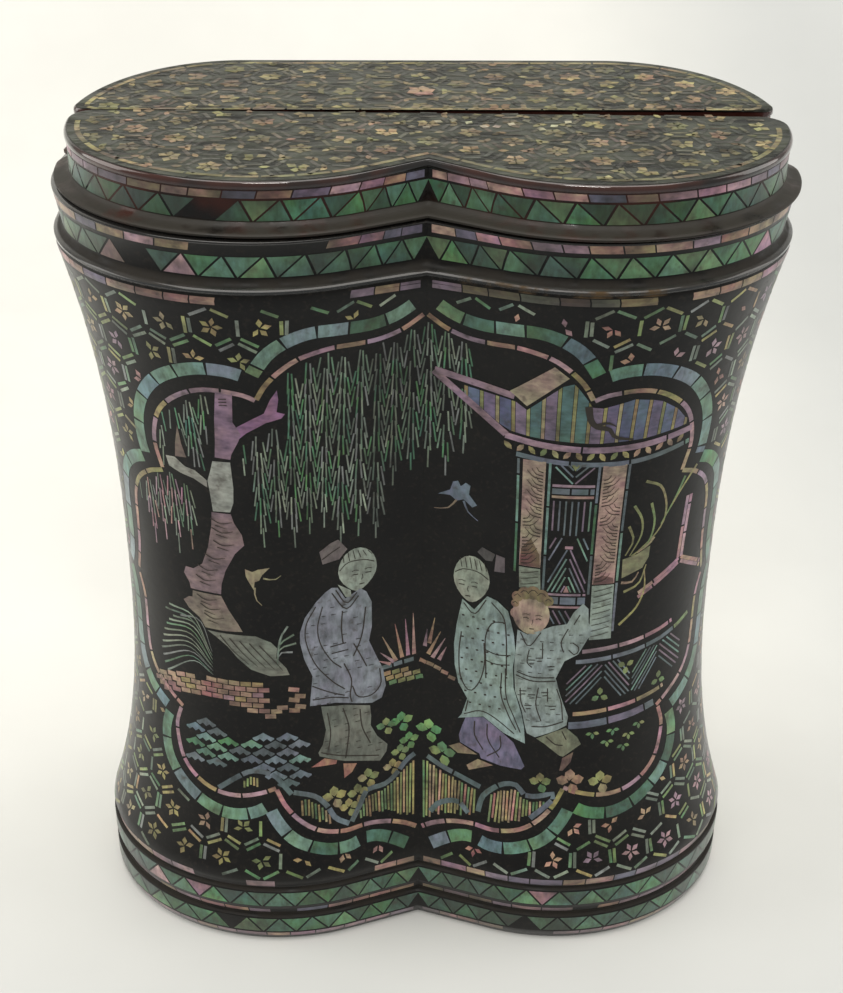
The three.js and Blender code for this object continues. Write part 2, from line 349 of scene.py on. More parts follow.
body.data.materials.append(lacquer)
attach(body, "root")
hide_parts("body")


# The front lid: a shallow cap of lacquered wood over the two lobes, with a lip that drops into the mouth.
# It has slid a little to the right and turned, so the slit behind it widens to the right.
SPLIT_Y, SLIT, SPLIT_WALL = 3.2, 1.709, 3.5
LIP_OUT, RECESS_OUT, LIP_BOTTOM, BOARD_UNDERSIDE = -3.809, -6.309, 187, 198.7
FRONT_CORNER_ROUND, REAR_CORNER_ROUND, RECESS_ROUND = 5, 2.5, 1.5
FRONT_SHIFT, FRONT_TURN, REAR_TILT = 0.7, math.radians(1), math.radians(0.2)


def front_lid_plan(u, out, z, split_in=0.0, corner=FRONT_CORNER_ROUND):
    """The lobes to u 2, the corner at the slit to 3, and the straight edge to its middle at 4."""
    x, y = front_half(u, out, z)
    edge_y = SPLIT_Y - SLIT / 2 - split_in
    side_x = HALF_WIDTH + out
    angle = np.clip(u - 2, 0, 1) * math.pi / 2
    corner_x = side_x - corner + corner * np.cos(angle)
    corner_y = edge_y - corner + corner * np.sin(angle)
    x = np.where(u <= 2, x, np.where(u < 3, corner_x, (side_x - corner) * (4 - u)))
    return x, np.where(u <= 2, y, np.where(u < 3, corner_y, edge_y))


lid_side = [
    (191.5, 3.05), (191.62, 3.4), (191.85, 3.6), (192.2, 3.6), (192.4, 3.35), (192.5, 2.7),
    (192.65, 1.9), (192.9, 1.15), (193.25, 0.55), (193.7, 0.2), (198.2, 0.2), (200.35, 0.3),
    (200.5, 0.5), (200.75, 0.62), (201.4, 0.62), (201.85, 0.45), (202.1, 0.15), (202.2, -0.2),
]


def make_lid(name, plan, recess_plan, lie):
    """The lid's wall, and its closed mesh from the ceiling of its recess round to its top face."""
    wall, recess = Wall(plan, lid_side, lie), Wall(recess_plan, lid_side, lie)
    s = np.linspace(-1, 1, 2 * 150 + 1)[:-1]
    rings = [recess.place(s * recess.reach, z, RECESS_OUT) for z in (BOARD_UNDERSIDE, LIP_BOTTOM)]
    path = [(LIP_BOTTOM, LIP_OUT), (SEAM_HEIGHT, LIP_OUT)] + lid_side
    rings += [wall.place(s * wall.reach, z, out) for z, out in path]
    return wall, closed_mesh(name, rings)


front_wall, front_lid = make_lid(
    "lacquer_front_lid", front_lid_plan,
    lambda u, out, z: front_lid_plan(u, out, z, SPLIT_WALL, RECESS_ROUND),
    Matrix.Translation((FRONT_SHIFT, 0, 0)) @ Matrix.Rotation(-FRONT_TURN, 4, "Z"),
)


# The rear lid: a plain half oval, flat behind, that stands a little proud at its right end.
# The face at the slit was never polished and is a dull red-brown.
def rear_lid_plan(u, out, z, split_in=0.0, corner=REAR_CORNER_ROUND):
    """The straight edge to u 1, its corner to 2, the rear corner to 3, and the back to its middle at 4."""
    edge_y = SPLIT_Y + SLIT / 2 + split_in
    start = np.arcsin((edge_y + corner - CORNER_Y) / (CORNER_DEPTH + out))
    side_x, _ = rear_corner(0, out, start)
    angle = (np.clip(u, 1, 2) - 2) * math.pi / 2
    far_x, far_y = rear_corner(u - 2, out, start)
    x = np.where(u < 1, (side_x - corner) * u, side_x - corner + corner * np.cos(angle))
    y = np.where(u < 1, edge_y, edge_y + corner + corner * np.sin(angle))
    x = np.where(u < 2, x, np.where(u < 3, far_x, CORNER_X * (4 - u)))
    return x, np.where(u < 2, y, np.where(u < 3, far_y, HALF_DEPTH + out))


pivot = Vector((-HALF_WIDTH - 3.4, 0, SEAM_HEIGHT))
rear_wall, rear_lid = make_lid(
    "lacquer_rear_lid", rear_lid_plan,
    lambda u, out, z: rear_lid_plan(u, out, z, SPLIT_WALL, RECESS_ROUND),
    Matrix.Translation(pivot) @ Matrix.Rotation(-REAR_TILT, 4, "Y") @ Matrix.Translation(-pivot),
)

# Both lids: grey-green lacquer that has shrunk into ripples on top, with shade painted dark along the furrow lines,
# black and glossy at the rim.
LID_GROOVE, SLIT_FACES = (191.9, 193.6), (2.9, 4.3)


def lid_top(z):
    """1 on the lids' flat top, and 0 below it."""
    return z.ramp(202.05, 202.18)


def shrunk(tree):
    """The ripples of the lids' top and a furrow mask, both longer from left to right. The furrow mask gives relief to
    the bump and painted shade to the colour.
    """
    ripple = noise(tree, 190, 2, 0.45, stretch=(0.5, 1.0, 1.0))
    furrows_and_shade = noise(tree, 360, 2, 0.5, stretch=(0.4, 1.0, 1.0)).ramp(0.53, 0.66)
    return ripple, furrows_and_shade


lid_lacquer, tree, shader = new_material("lid_lacquer", IOR=1.4, Specular_IOR_Level=0.35, Coat_Roughness=0.06)
x, y, z = object_axes(tree)
top = lid_top(z)
dust = z.between(*LID_GROOVE, 0.5) * noise(tree, 160).ramp(0.2, 0.55)
slit = (y.between(*SLIT_FACES, 0.1) * (1 - top)) * noise(tree, 200).ramp(0.1, 0.5)
ripple, furrows_and_shade = shrunk(tree)
fine = noise(tree, 900, 4)
colour = mix(ripple.ramp(0.35, 0.65), paint("1f211b"), paint("393c33"))
colour = mix(fine.ramp(0.45, 0.75) * 0.35, colour, paint("55534a"))
# Painted shade: the furrow lines of the top are painted near-black, as the shade of the ripples.
colour = mix(furrows_and_shade * 0.75, colour, paint("0d0d0b"))
colour = mix(top, mix(noise(tree, 60).ramp(0.35, 0.6), paint("12100f"), paint("361a13")), colour)
colour = mix(dust, colour, paint("2a2722"))
colour = mix(slit, colour, paint("3a1c16"))
rough = 0.1 + noise(tree, 300, 4) * 0.08 + top * (0.2 + fine * 0.2) + dust * 0.4 + slit * 0.3
height = top * (ripple * 3.4 - furrows_and_shade * 0.6 + fine * 0.12) + noise(tree, 260) * 0.15
drive(
    shader, Base_Color=colour, Roughness=rough, Coat_Weight=z.ramp(200.2, 200.5) * (1 - top),
    Normal=bumped(tree, height, 0.0009, 1.0),
)
for lid, node in ((front_lid, "front_lid"), (rear_lid, "rear_lid")):
    lid.data.materials.append(lid_lacquer)
    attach(lid, "root")
    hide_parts(node)


# The shell: pieces of iridescent shell, thinner than paper, laid in the lacquer and polished flush.
# They are drawn flat, (s, z) on a wall or (x, y) on a lid's top, and laid on the surface.
chance = np.random.default_rng(7)
SHEET_LIFT, SECOND_LIFT, ENGRAVED_LIFT = 0.05, 0.09, 0.12
GREEN = ("4f9a62", "3f7f58", "579174", "45785c", "6c9c62", "3c6b52", "5a8f6c")
REED = ("7f9479", "6c8a70", "8b9a8a", "70806f", "93a58c", "5f8a66", "8a8f8c")
SEA = ("6f9c8c", "7aa596", "6b8f9a", "5f9479", "8096a0", "6a9a7c")
PINK = ("b98a8e", "c79aa0", "c08494", "a98a9b", "c79a88", "b18a96")
WARM = ("c79a78", "b78c66", "a88b62", "c2a078", "b58672")
GOLD = ("b7a45a", "a3964e", "9c9a55", "b8a774", "8c9350")
LEAF = ("7d9a50", "8aa658", "6f9a5e", "9ba25a", "5e8f55")
MAUVE = ("8d7488", "7f6f8c", "9a8296", "75708a")
SLATE = ("6f7d8c", "66757a", "5f7278", "7a8490")


def pick(palette, spread=0.12):
    """One tone of a palette, a little lighter or darker each time."""
    tone = np.array(paint(palette[chance.integers(len(palette))]))
    tone[:3] *= 1 + spread * chance.uniform(-1, 1)
    return tone


def make_shell(name, streaks, coat=0.1, sheen=0.25):
    """Shell whose hue drifts in patches, worn in spots, stained on the border bands, and rippled on top with shade
    painted dark along the furrow lines.
    """
    material, tree, shader = new_material(
        name, Metallic=0.15, IOR=1.4, Coat_Weight=coat, Coat_Roughness=0.15, Sheen_Weight=sheen,
    )
    tone = add_node(tree, "ShaderNodeAttribute", {"attribute_name": "tone"}, output="Color")
    clouds, fine = noise(tree, 110, 3), noise(tree, 900, 3, stretch=streaks)
    hue = 0.49 + (clouds - 0.5) * 0.3 + (fine - 0.5) * 0.1
    value = 0.62 + (noise(tree, 190, 3) - 0.5) * 1.3 + (fine - 0.5) * 0.95
    colour = tone.add(
        "ShaderNodeHueSaturation", None,
        {"Hue": hue, "Saturation": 0.86, "Value": value, "Color": tone}, "Color",
    )
    worn = noise(tree, 420, 4).ramp(0.55, 0.75) * 0.6
    z = object_axes(tree)[2]
    top = lid_top(z)
    bands = z.ramp(176.5, 177.5).either(1 - z.ramp(21.5, 22.5)) * (1 - top)
    ripple, furrows_and_shade = shrunk(tree)
    furrows_and_shade = furrows_and_shade * top
    colour = mix(worn, colour, paint("3a3026"))
    colour = mix(bands * noise(tree, 62, 4).ramp(0.42, 0.62) * 0.62, colour, paint("23241f"))
    drive(
        # Painted shade: on the lids' top the shell is painted near-black along the furrow lines.
        shader, Base_Color=mix(furrows_and_shade * 0.75, colour, paint("15140f")), Roughness=0.3 + fine * 0.25,
        Normal=bumped(tree, top * ripple * 3.4 - furrows_and_shade * 0.6 + fine * 0.05, 0.0009, 1.0),
    )
    return material


green_shell = make_shell("green_shell", (1, 1, 0.4))
pink_shell = make_shell("pink_shell", (0.4, 1, 1))
dull_shell = make_shell("dull_shell", (0.4, 1, 1), coat=0.0, sheen=0.0)
engraving, tree, shader = new_material("engraved_line", Roughness=0.6)
drive(shader, Base_Color=mix(noise(tree, 300), paint("1c1712"), paint("342a20")))


def finish_inlay(piece, surface, lift, material):
    """Lays a flat mesh on its surface, and gives it to the part."""
    mesh = piece.data
    flat = np.empty(3 * len(mesh.vertices))
    mesh.vertices.foreach_get("co", flat)
    mesh.vertices.foreach_set("co", (surface.wrap(flat.reshape(-1, 3), lift) * MM).ravel())
    mesh.update()
    if not mesh.materials:
        mesh.materials.append(material)
    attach(piece, "root")


class Top:
    """A lid's top face, with the same call as a wall."""

    def __init__(self, lie):
        self.lie = np.array(lie)

    def wrap(self, flat, lift):
        z = np.full(len(flat), TOP_HEIGHT + lift)
        return (np.stack((flat[:, 0], flat[:, 1], z, np.ones(len(flat))), axis=-1) @ self.lie.T)[:, :3]


def unit_shape(name, columns, low, high):
    """A flat shape one unit long and one wide, in columns so that it bends with the wall."""
    flat, columns_of = [], []
    for x in np.linspace(-0.5, 0.5, columns):
        bottom, top = low(x), high(x)
        ends = [bottom, (bottom + top) / 2, top] if top - bottom > 1e-6 else [bottom]
        columns_of.append(list(range(len(flat), len(flat) + len(ends))))
        flat += [(x, y, 0) for y in ends]
    faces = []
    for first, second in zip(columns_of, columns_of[1:]):
        if len(first) == len(second):
            faces += [(first[i], second[i], second[i + 1], first[i + 1]) for i in (0, 1)]
        elif len(first) == 1:
            faces += [(first[0], second[i], second[i + 1]) for i in (0, 1)]
        else:
            faces += [(first[i], second[0], first[i + 1]) for i in (0, 1)]
    mesh = bpy.data.meshes.new(name)
    mesh.from_pydata(flat, [], faces)
    return bpy.data.objects.new(name, mesh)


brick = unit_shape("brick", 4, lambda x: -0.5, lambda x: 0.5)
sliver = unit_shape("sliver", 3, lambda x: -0.5, lambda x: 0.5)
triangle = unit_shape("triangle", 5, lambda x: -0.5, lambda x: 0.5 - 2 * abs(x))
petal = unit_shape(
    "petal", 4, lambda x: -math.sqrt(max(0, 0.25 - x * x)), lambda x: math.sqrt(max(0, 0.25 - x * x)),
)
diamond = unit_shape("diamond", 3, lambda x: abs(x) - 0.5, lambda x: 0.5 - abs(x))

# The tree that lays one shape at every point of a cloud, turned, sized and coloured as the point says.
laying = bpy.data.node_groups.new("lay_pieces", "GeometryNodeTree")
for label, kind in (
    ("Points", "Geometry"), ("Piece", "Object"), ("Length", "Float"), ("Width", "Float"),
    ("Looseness", "Float"), ("Seed", "Int"), ("Material", "Material"),
):
    laying.interface.new_socket(label, in_out="INPUT", socket_type="NodeSocket" + kind)
laying.interface.new_socket("Pieces", in_out="OUTPUT", socket_type="NodeSocketGeometry")
given = laying.nodes.new("NodeGroupInput")
inlet = {socket.name: Wire(laying, socket) for socket in given.outputs}
turn = add_node(laying, "GeometryNodeInputNamedAttribute", {"data_type": "FLOAT"}, {"Name": "turn"}, "Attribute")
grow = add_node(laying, "GeometryNodeInputNamedAttribute", {"data_type": "FLOAT_VECTOR"}, {"Name": "grow"}, "Attribute")
loose = add_node(
    laying, "FunctionNodeRandomValue", {"data_type": "FLOAT"},
    {"Min_001": -1.0, "Max_001": 1.0, "Seed": inlet["Seed"]}, "Value_001",
)
turned = add_node(laying, "ShaderNodeCombineXYZ", None, {"Z": turn + loose * inlet["Looseness"]})
full_size = add_node(laying, "ShaderNodeCombineXYZ", None, {"X": inlet["Length"], "Y": inlet["Width"], "Z": 1.0})
scaled = add_node(laying, "ShaderNodeVectorMath", {"operation": "MULTIPLY"}, {0: grow, 1: full_size})
shape = add_node(laying, "GeometryNodeObjectInfo", None, {"Object": inlet["Piece"]}, "Geometry")
laid = add_node(
    laying, "GeometryNodeInstanceOnPoints", None,
    {"Points": inlet["Points"], "Instance": shape, "Rotation": turned, "Scale": scaled},
)
real = add_node(laying, "GeometryNodeRealizeInstances", None, {0: laid})
dressed = add_node(laying, "GeometryNodeSetMaterial", None, {"Geometry": real, "Material": inlet["Material"]})
laying.links.new(dressed.socket, laying.nodes.new("NodeGroupOutput").inputs[0])


def lay(name, surface, places, shape, length, width, material, lift=SHEET_LIFT, looseness=0.0, seed=1):
    """Lays a shape at places of (s, z, turn, longer, wider, tone) with the tree, and wraps the result."""
    cloud = bpy.data.meshes.new(name)
    cloud.from_pydata([(s, z, 0) for s, z, *_ in places], [], [])
    for label, kind, data, values in (
        ("turn", "FLOAT", "value", [p[2] for p in places]),
        ("grow", "FLOAT_VECTOR", "vector", [(p[3], p[4], 1) for p in places]),
        ("tone", "FLOAT_COLOR", "color", [p[5] for p in places]),
    ):
        cloud.attributes.new(label, kind, "POINT").data.foreach_set(data, np.array(values, float).ravel())
    piece = show(name, cloud)
    modifier = piece.modifiers.new("laying", "NODES")
    modifier.node_group = laying
    values = {
        "Piece": shape, "Length": float(length), "Width": float(width),
        "Looseness": float(looseness), "Seed": seed, "Material": material,
    }
    for socket in laying.interface.items_tree:
        if socket.name in values:
            modifier[socket.identifier] = values[socket.name]
    graph = bpy.context.evaluated_depsgraph_get()
    mesh = bpy.data.meshes.new_from_object(piece.evaluated_get(graph))
    piece.modifiers.remove(modifier)
    piece.data = mesh
    finish_inlay(piece, surface, lift, material)


def smooth(points, step=1.6):
    """A smooth curve through points, as a path with even steps."""
    points = np.array(points, float)
    ends = np.concatenate((2 * points[:1] - points[1:2], points, 2 * points[-1:] - points[-2:-1]))
    curve = []
    for a, b, c, d in zip(ends, ends[1:], ends[2:], ends[3:]):
        t = np.linspace(0, 1, 12, endpoint=False)[:, None]
        bend, twist = 2 * a - 5 * b + 4 * c - d, 3 * b - a - 3 * c + d
        curve.append(0.5 * (2 * b + (c - a) * t + bend * t ** 2 + twist * t ** 3))
    curve = np.concatenate(curve + [points[-1:]])
    return even(curve, step)


def even(path, step):
    """A path with points at even steps."""
    path = np.array(path, float)
    along = np.append(0, np.cumsum(np.hypot(*np.diff(path, axis=0).T)))
    marks = np.linspace(0, along[-1], max(2, int(round(along[-1] / step)) + 1))
    return np.stack([np.interp(marks, along, path[:, i]) for i in (0, 1)], axis=-1)


def mirror(points):
    return [(-s, z) for s, z in points]


def near(point, path):
    return np.min(np.hypot(*(np.asarray(path) - point).T))


def encloses(outline, point):
    """Whether a closed outline goes round a point."""
    (x0, y0), (x1, y1) = np.array(outline).T, np.roll(outline, -1, axis=0).T
    crosses = (y0 > point[1]) != (y1 > point[1])
    share = (point[1] - y0[crosses]) / (y1 - y0)[crosses]
    return np.sum(x0[crosses] + share * (x1 - x0)[crosses] > point[0]) % 2 == 1


class Drawing:
    """Flat shapes cut to an outline or along a path, each with its tone."""

    def __init__(self):
        self.shapes = []

    def cut(self, outline, tone):
        self.shapes.append((outline, tone))

    def band(self, path, width, tone, end_width=None):
        """A strip along a path, which tapers to its end width."""
        path = np.array(path, float)
        along = np.gradient(path, axis=0)
        side = np.stack((-along[:, 1], along[:, 0]), axis=-1) / np.hypot(*along.T)[:, None]
        half = np.linspace(width, width if end_width is None else end_width, len(path))[:, None] / 2
        left, right = path + side * half, path - side * half
        for i in range(len(path) - 1):
            self.shapes.append(((right[i], right[i + 1], left[i + 1], left[i]), tone))

    def chain(self, path, width, palette, length, gap=0.3, missing=()):
        """Pieces end to end along a path, with a dark joint between them."""
        path = even(path, 0.25)
        at = 0
        while at < len(path) - 3:
            count = int(length * chance.uniform(0.8, 1.2) / 0.25)
            piece = path[at:at + count]
            if len(piece) > 3 and not any(low < piece[:, 0].mean() < high for low, high in missing):
                self.band(even(piece, 1.6), width, pick(palette))
            at += count + max(1, int(gap / 0.25))

    def lay(self, name, surface, material, slot, lift=SHEET_LIFT, grid=(2.0, 5.0)):
        """Makes one mesh of the shapes, cut along an even grid so that it bends with the wall."""
        mesh = bpy.data.meshes.new(name)
        cutter = bmesh.new()
        tones = cutter.verts.layers.float_color.new("tone")
        for outline, tone in self.shapes:
            corners = [cutter.verts.new((s, z, 0)) for s, z in outline]
            for corner in corners:
                corner[tones] = tone
            cutter.faces.new(corners)
        bmesh.ops.triangulate(cutter, faces=[face for face in cutter.faces if len(face.verts) > 4])
        for face in cutter.faces:
            face.normal_update()
            if face.normal.z < 0:
                face.normal_flip()
        for axis, step in enumerate(grid):
            if not step:
                continue
            reach = [vertex.co[axis] for vertex in cutter.verts]
            low, high = int(min(reach) // step), int(max(reach) // step) + 1
            normal = Vector((1, 0, 0)) if axis == 0 else Vector((0, 1, 0))
            for i in range(low, high + 1):
                across = [
                    face for face in cutter.faces
                    if min(v.co[axis] for v in face.verts) < i * step - 1e-4
                    and max(v.co[axis] for v in face.verts) > i * step + 1e-4
                ]
                if across:
                    parts = list({edge for face in across for edge in face.edges})
                    corners = list({vertex for face in across for vertex in face.verts})
                    bmesh.ops.bisect_plane(
                        cutter, geom=across + parts + corners, dist=1e-5,
                        plane_co=normal * (i * step), plane_no=normal,
                    )
        cutter.to_mesh(mesh)
        cutter.free()
        finish_inlay(show(name, mesh), surface, lift, material)


# The border bands: rows of shell round each step of the box, narrow pink strips above green triangles.
# Some pieces have fallen out and left their black beds.
ROWS = (
    # surface, kind, low z, high z, ranges of s where pieces are lost
    (front_wall, "strip", 198.65, 200.2, ((-48, -46),)),
    (front_wall, "teeth", 193.8, 198.3, ((-51, -46.5),)),
    (rear_wall, "strip", 198.65, 200.2, ()),
    (rear_wall, "teeth", 193.8, 198.3, ()),
    (body_wall, "strip", 188.8, 190.6, ((-50, -29),)),
    (body_wall, "teeth", 182.9, 187.9, ((-62, -57),)),
    (body_wall, "strip", 177.5, 179.3, ((-45, -15), (27, 31), (48, 56))),
    (body_wall, "strip", 18.5, 20.7, ((-57, -41), (-36, -15))),
    (body_wall, "teeth", 12.2, 16.95, ()),
    (body_wall, "strip", 9.3, 10.9, ((-39, -30), (38, 46))),
    (body_wall, "teeth", 3.4, 7.95, ((27, 31), (-50, -47))),
    (body_wall, "strip", 1.4, 3.0, ((25, 34),)),
)
TOOTH, TOOTH_SEAM = 7.35, 0.55
STAINED = ("7d6a42", "6f6a44", "8a7548", "77785c", "6b5838")
STAINED_ROW, STAINED_FROM, STAINED_TO = 179.3, 9, 48
FIRST_EDGE = 1.2


def lost(s, ranges):
    return any(low < s < high for low, high in ranges)


strips, teeth = {}, {}
for surface, kind, low, high, gaps in ROWS:
    for side in (-1, 1):
        s = FIRST_EDGE
        while s < surface.reach - 1:
            length = chance.uniform(4.5, 7.5) if kind == "strip" else TOOTH / 2
            middle = side * (s + length / 2)
            if kind == "strip":
                if not lost(middle, gaps):
                    warm = chance.random() < 0.35
                    tone = pick(WARM if warm else PINK if chance.random() < 0.75 else MAUVE)
                    if high == STAINED_ROW and STAINED_FROM < middle < STAINED_TO:
                        tone = pick(STAINED)
                    strips.setdefault(surface, []).append(
                        (middle, (low + high) / 2, 0, length - 0.3, high - low, tone))
            elif not lost(middle, gaps):
                up = int(round((s - FIRST_EDGE) / length)) % 2
                tone = pick(GREEN if chance.random() < 0.97 else PINK, 0.25)
                # Painted shade: the downward teeth are painted a quarter darker than the upward ones, as shade on the
                # bands.
                if not up:
                    tone[:3] *= 0.75
                teeth.setdefault(surface, []).append((
                    middle, (low + high) / 2, 0 if up else math.pi,
                    TOOTH - 2 * TOOTH_SEAM, high - low - 0.3, tone,
                ))
            s += length
for label, surface in (("body", body_wall), ("front_lid", front_wall), ("rear_lid", rear_wall)):
    lay("band_strips_" + label, surface, strips[surface], brick, 1, 1, pink_shell)
    lay("band_triangles_" + label, surface, teeth[surface], triangle, 1, 1, green_shell)


# The picture's frame: a broad blue-green band with a narrow pink and gold one inside it.
# Both run in scallops round the picture and stop at the fold.
BROAD = (
    ((2.2, 174), (7, 171.3), (12.5, 170), (19, 170), (25, 170), (30, 168.2), (34, 165), (37.8, 159.2)),
    ((38.8, 159.5), (43, 160.8), (49, 160.8), (55, 158.8), (60.2, 155.3), (64.5, 150), (67, 144),
     (67.5, 138), (66.8, 133.6)),
    ((67.3, 133.6), (72.5, 131.3), (77.2, 126.5), (79.2, 119), (79.5, 110), (80.3, 103), (82.6, 98)),
    ((82.6, 98), (80.3, 93), (79.6, 86), (79.2, 78), (77.5, 72), (73, 66.8), (66.5, 62.8)),
    ((66.3, 62.2), (67.5, 56.5), (66.3, 50.3), (63, 45.6), (58.5, 42), (53.5, 39.3), (48, 38),
     (42.5, 38.7), (38.3, 40.8)),
    ((38, 40.4), (36, 36.5), (33, 32.5), (29.5, 30), (24, 28), (19, 27.8), (15.8, 28.8)),
    ((15.4, 28.9), (12, 28.8), (8, 27.3), (2.6, 24.2)),
)
NARROW = (
    ((0.5, 170.5), (5, 167.6), (10, 166), (15, 165.6), (21, 165.5), (27, 163.9), (31, 161.2),
     (34.5, 157.5), (36.7, 153.6)),
    ((37, 153.4), (40, 154.8), (46, 155.6), (51, 154.7), (56, 151.9), (60, 148), (62.3, 143.2),
     (63.2, 138), (62, 131.6)),
    ((62.2, 131.4), (67, 129.6), (71.5, 126), (74, 120.5), (74.7, 113), (75.4, 106), (76.9, 99)),
    ((76.9, 97.4), (75, 92), (74.8, 83), (74, 76.5), (71, 71.5), (66, 67.6), (62, 64.9)),
    ((62.6, 64.2), (63.8, 59.5), (63, 54.5), (61, 49.8), (57, 46), (51.5, 43.6), (45.5, 43.2),
     (40, 44.4), (36.4, 45.8)),
    ((36.2, 45.4), (34, 40.8), (30.5, 36.5), (26, 33.4), (20, 32), (14, 32.4), (8.5, 31.7),
     (4, 30.2), (0.8, 28.5)),
)
broad, narrow = Drawing(), Drawing()
for arc in BROAD:
    for points in (arc, mirror(arc)):
        broad.chain(smooth(points, 0.5)[2:-2], 3.1, SEA if chance.random() < 0.6 else GREEN + SEA, 7.5)
for arc in NARROW:
    for points in (arc, mirror(arc)):
        narrow.chain(smooth(points, 0.5), 1.15, WARM + PINK + GOLD[:2], 7)
broad.lay("frame_broad", body_wall, green_shell, "green_shell")
narrow.lay("frame_narrow", body_wall, pink_shell, "pink_shell")


def closed_outline(arcs):
    """The outline that the arcs and their mirror images make together."""
    path = [point for arc in arcs for point in smooth(arc, 1.5).tolist()]
    return path + mirror(path)[::-1]


frame_outline, inner_outline = closed_outline(BROAD), closed_outline(NARROW)


# The ground outside the frame: hexagons of paired green slivers, each with a star flower in it.
# It goes all round the body, and many slivers and petals are lost.
FIRST_LEFT, FIRST_RIGHT, ROW_STEP, LOW_ROW, CELL_ROWS = 20.8, 15.3, 8.58, 26, 18
SLIVER_RING, PETAL_RING = 4.2, 1.35
GROUND_BOTTOM, GROUND_TOP = 22.2, 176.2


def clear_of_frame(point, margin):
    return not encloses(frame_outline, point) and near(point, frame_outline) >= margin


way_round = 2 * body_wall.reach - FIRST_LEFT - FIRST_RIGHT
CELL = way_round / round(way_round / 9.35)
slivers, petals = [], []
for row in range(CELL_ROWS):
    z = LOW_ROW + ROW_STEP * row
    for side, first in ((-1, FIRST_LEFT), (1, FIRST_RIGHT)):
        count = int((body_wall.reach - first) / CELL) + 1
        for k in range(-3, count + 1):
            s = first + CELL * (k + 0.5 * (row % 2))
            if s < 2 or s > body_wall.reach + 0.01 * side:
                continue
            centre = (side * s, z)
            if encloses(frame_outline, centre) and near(centre, frame_outline) > 3:
                continue
            flower = pick(GOLD if side < 0 and chance.random() < 0.75 else PINK if chance.random() < 0.5 else WARM)
            start = chance.uniform(0, 1)
            for i in range(6):
                angle = i * math.pi / 3
                at = (centre[0] + SLIVER_RING * math.cos(angle), z + SLIVER_RING * math.sin(angle))
                if clear_of_frame(at, 3.1) and chance.random() < 0.86 and GROUND_BOTTOM < at[1] < GROUND_TOP:
                    slivers.append((
                        *at, angle + math.pi / 2, chance.uniform(0.9, 1.08), 1, pick(REED + LEAF + GOLD[:1], 0.25),
                    ))
            for i in range(5):
                angle = start + i * math.tau / 5
                at = (centre[0] + PETAL_RING * math.cos(angle), z + PETAL_RING * math.sin(angle))
                if clear_of_frame(at, 2.4) and chance.random() < 0.85:
                    petals.append((*at, angle, 1, chance.uniform(0.85, 1.1), flower * chance.uniform(0.8, 1.15)))
lay("hexagon_slivers", body_wall, slivers, sliver, 3.9, 0.72, green_shell, looseness=0.05, seed=3)
lay("star_petals", body_wall, petals, diamond, 2.2, 1.25, pink_shell, looseness=0.15, seed=4)


# The willow: strands of slivers thinner than a pin, which hang from the top of the frame in tiers.
# Each tier spreads downwards, and the strands leave out the tree, the ridge and the frame itself.
def within(point, margin=0.0):
    return encloses(inner_outline, point) and near(point, inner_outline) > margin


willow = []
HANG = np.array((
    (-74, 128), (-70, 118), (-62, 113), (-55, 116), (-53, 128), (-49, 136), (-46, 140), (-41, 139),
    (-40, 131), (-38, 115), (-36, 122), (-32, 124), (-28, 114), (-26, 120), (-20, 122), (-15, 114),
    (-13, 124), (-10, 116), (-7, 128), (-4, 131), (0, 138), (4, 133), (8, 136), (11, 150),
))
TREE_EDGE = (
    (-46.2, 157), (-41.2, 157), (-41.6, 148.5), (-35, 152), (-33, 158), (-31, 157), (-29.8, 149.5), (-35, 146.5),
    (-40.5, 142.3), (-42.7, 136), (-43, 122), (-50.6, 122), (-50.8, 128.8), (-60.8, 132.6), (-61, 136.4),
    (-58.6, 140), (-56.5, 146), (-54.8, 140), (-54.4, 134.6), (-50, 132), (-48.6, 140),
)
STRAND_STEP, TIER = 3.8, 4.1
# Each sliver of a tier: how far it stands to the side, and how far its top has dropped.
FULL_TIER = ((-1.45, 1.2), (-0.5, 0), (0.5, 0.3), (1.45, 1.5))
THIN_TIER, LAST_TIER = ((-0.5, 0), (0.5, 0.5)), ((0, 0),)
for k, s in enumerate(np.arange(-75, 11, STRAND_STEP)):
    bottom = np.interp(s, *HANG.T) + chance.uniform(-3, 2)
    z = 169 - 1.9 * (k % 2) - chance.uniform(0, 1)
    while z > bottom:
        left = (z - bottom) / TIER
        for offset, drop in FULL_TIER if left > 2 else THIN_TIER if left > 1 else LAST_TIER:
            length = chance.uniform(4.4, 5.8)
            tilt = offset * 0.1 + chance.uniform(-0.02, 0.02)
            at = (s + offset + chance.uniform(-0.1, 0.1), z - drop - length / 2)
            tips = [(at[0] - way * math.sin(tilt) * length / 2, at[1] + way * length / 2) for way in (-1, 1)]
            on_trunk = any(encloses(TREE_EDGE, tip) for tip in (*tips, at))
            roofed = at[0] > 1.5 and 157.5 - (at[0] - 2) * 0.2 > at[1] > 156.5 - (at[0] - 2) * 0.86
            if on_trunk or roofed or not all(within(tip, 0.75) for tip in tips) or chance.random() > 0.94:
                continue
            dull = min(1, 0.55 + 0.45 * abs(at[0] + 12) / 20) if at[0] > -12 else 1
            tone = pick(REED + GREEN[:2] if at[1] > 131.5 or at[0] > -50 else PINK + REED, 0.25)
            willow.append((*at, math.pi / 2 + tilt, length, 1, (*(tone[:3] * dull), 1)))
        z -= TIER
lay("willow", body_wall, willow, sliver, 1, 0.36, green_shell, looseness=0.02, seed=5)


# The lids' tops: hexagons of thin dark shell with an ochre star in each and ochre forks at the corners.
# A thin ochre strip runs along the edge. Some brighter pieces stand proud, in a flower on the rear lid.
STAR, RING, FORK = 1.45, 3.95, 0.75
def lid_outline(surface, out):
    """The lid's edge seen from above, in its own plane, inset by -out."""
    s = np.linspace(-surface.reach, surface.reach, 400)
    share = np.interp(np.abs(s), surface.lengths, surface.shares)
    x, y = surface.plan(share, np.full(400, float(out)), np.full(400, TOP_HEIGHT))
    return np.stack((np.copysign(1, s) * x, y), axis=-1)


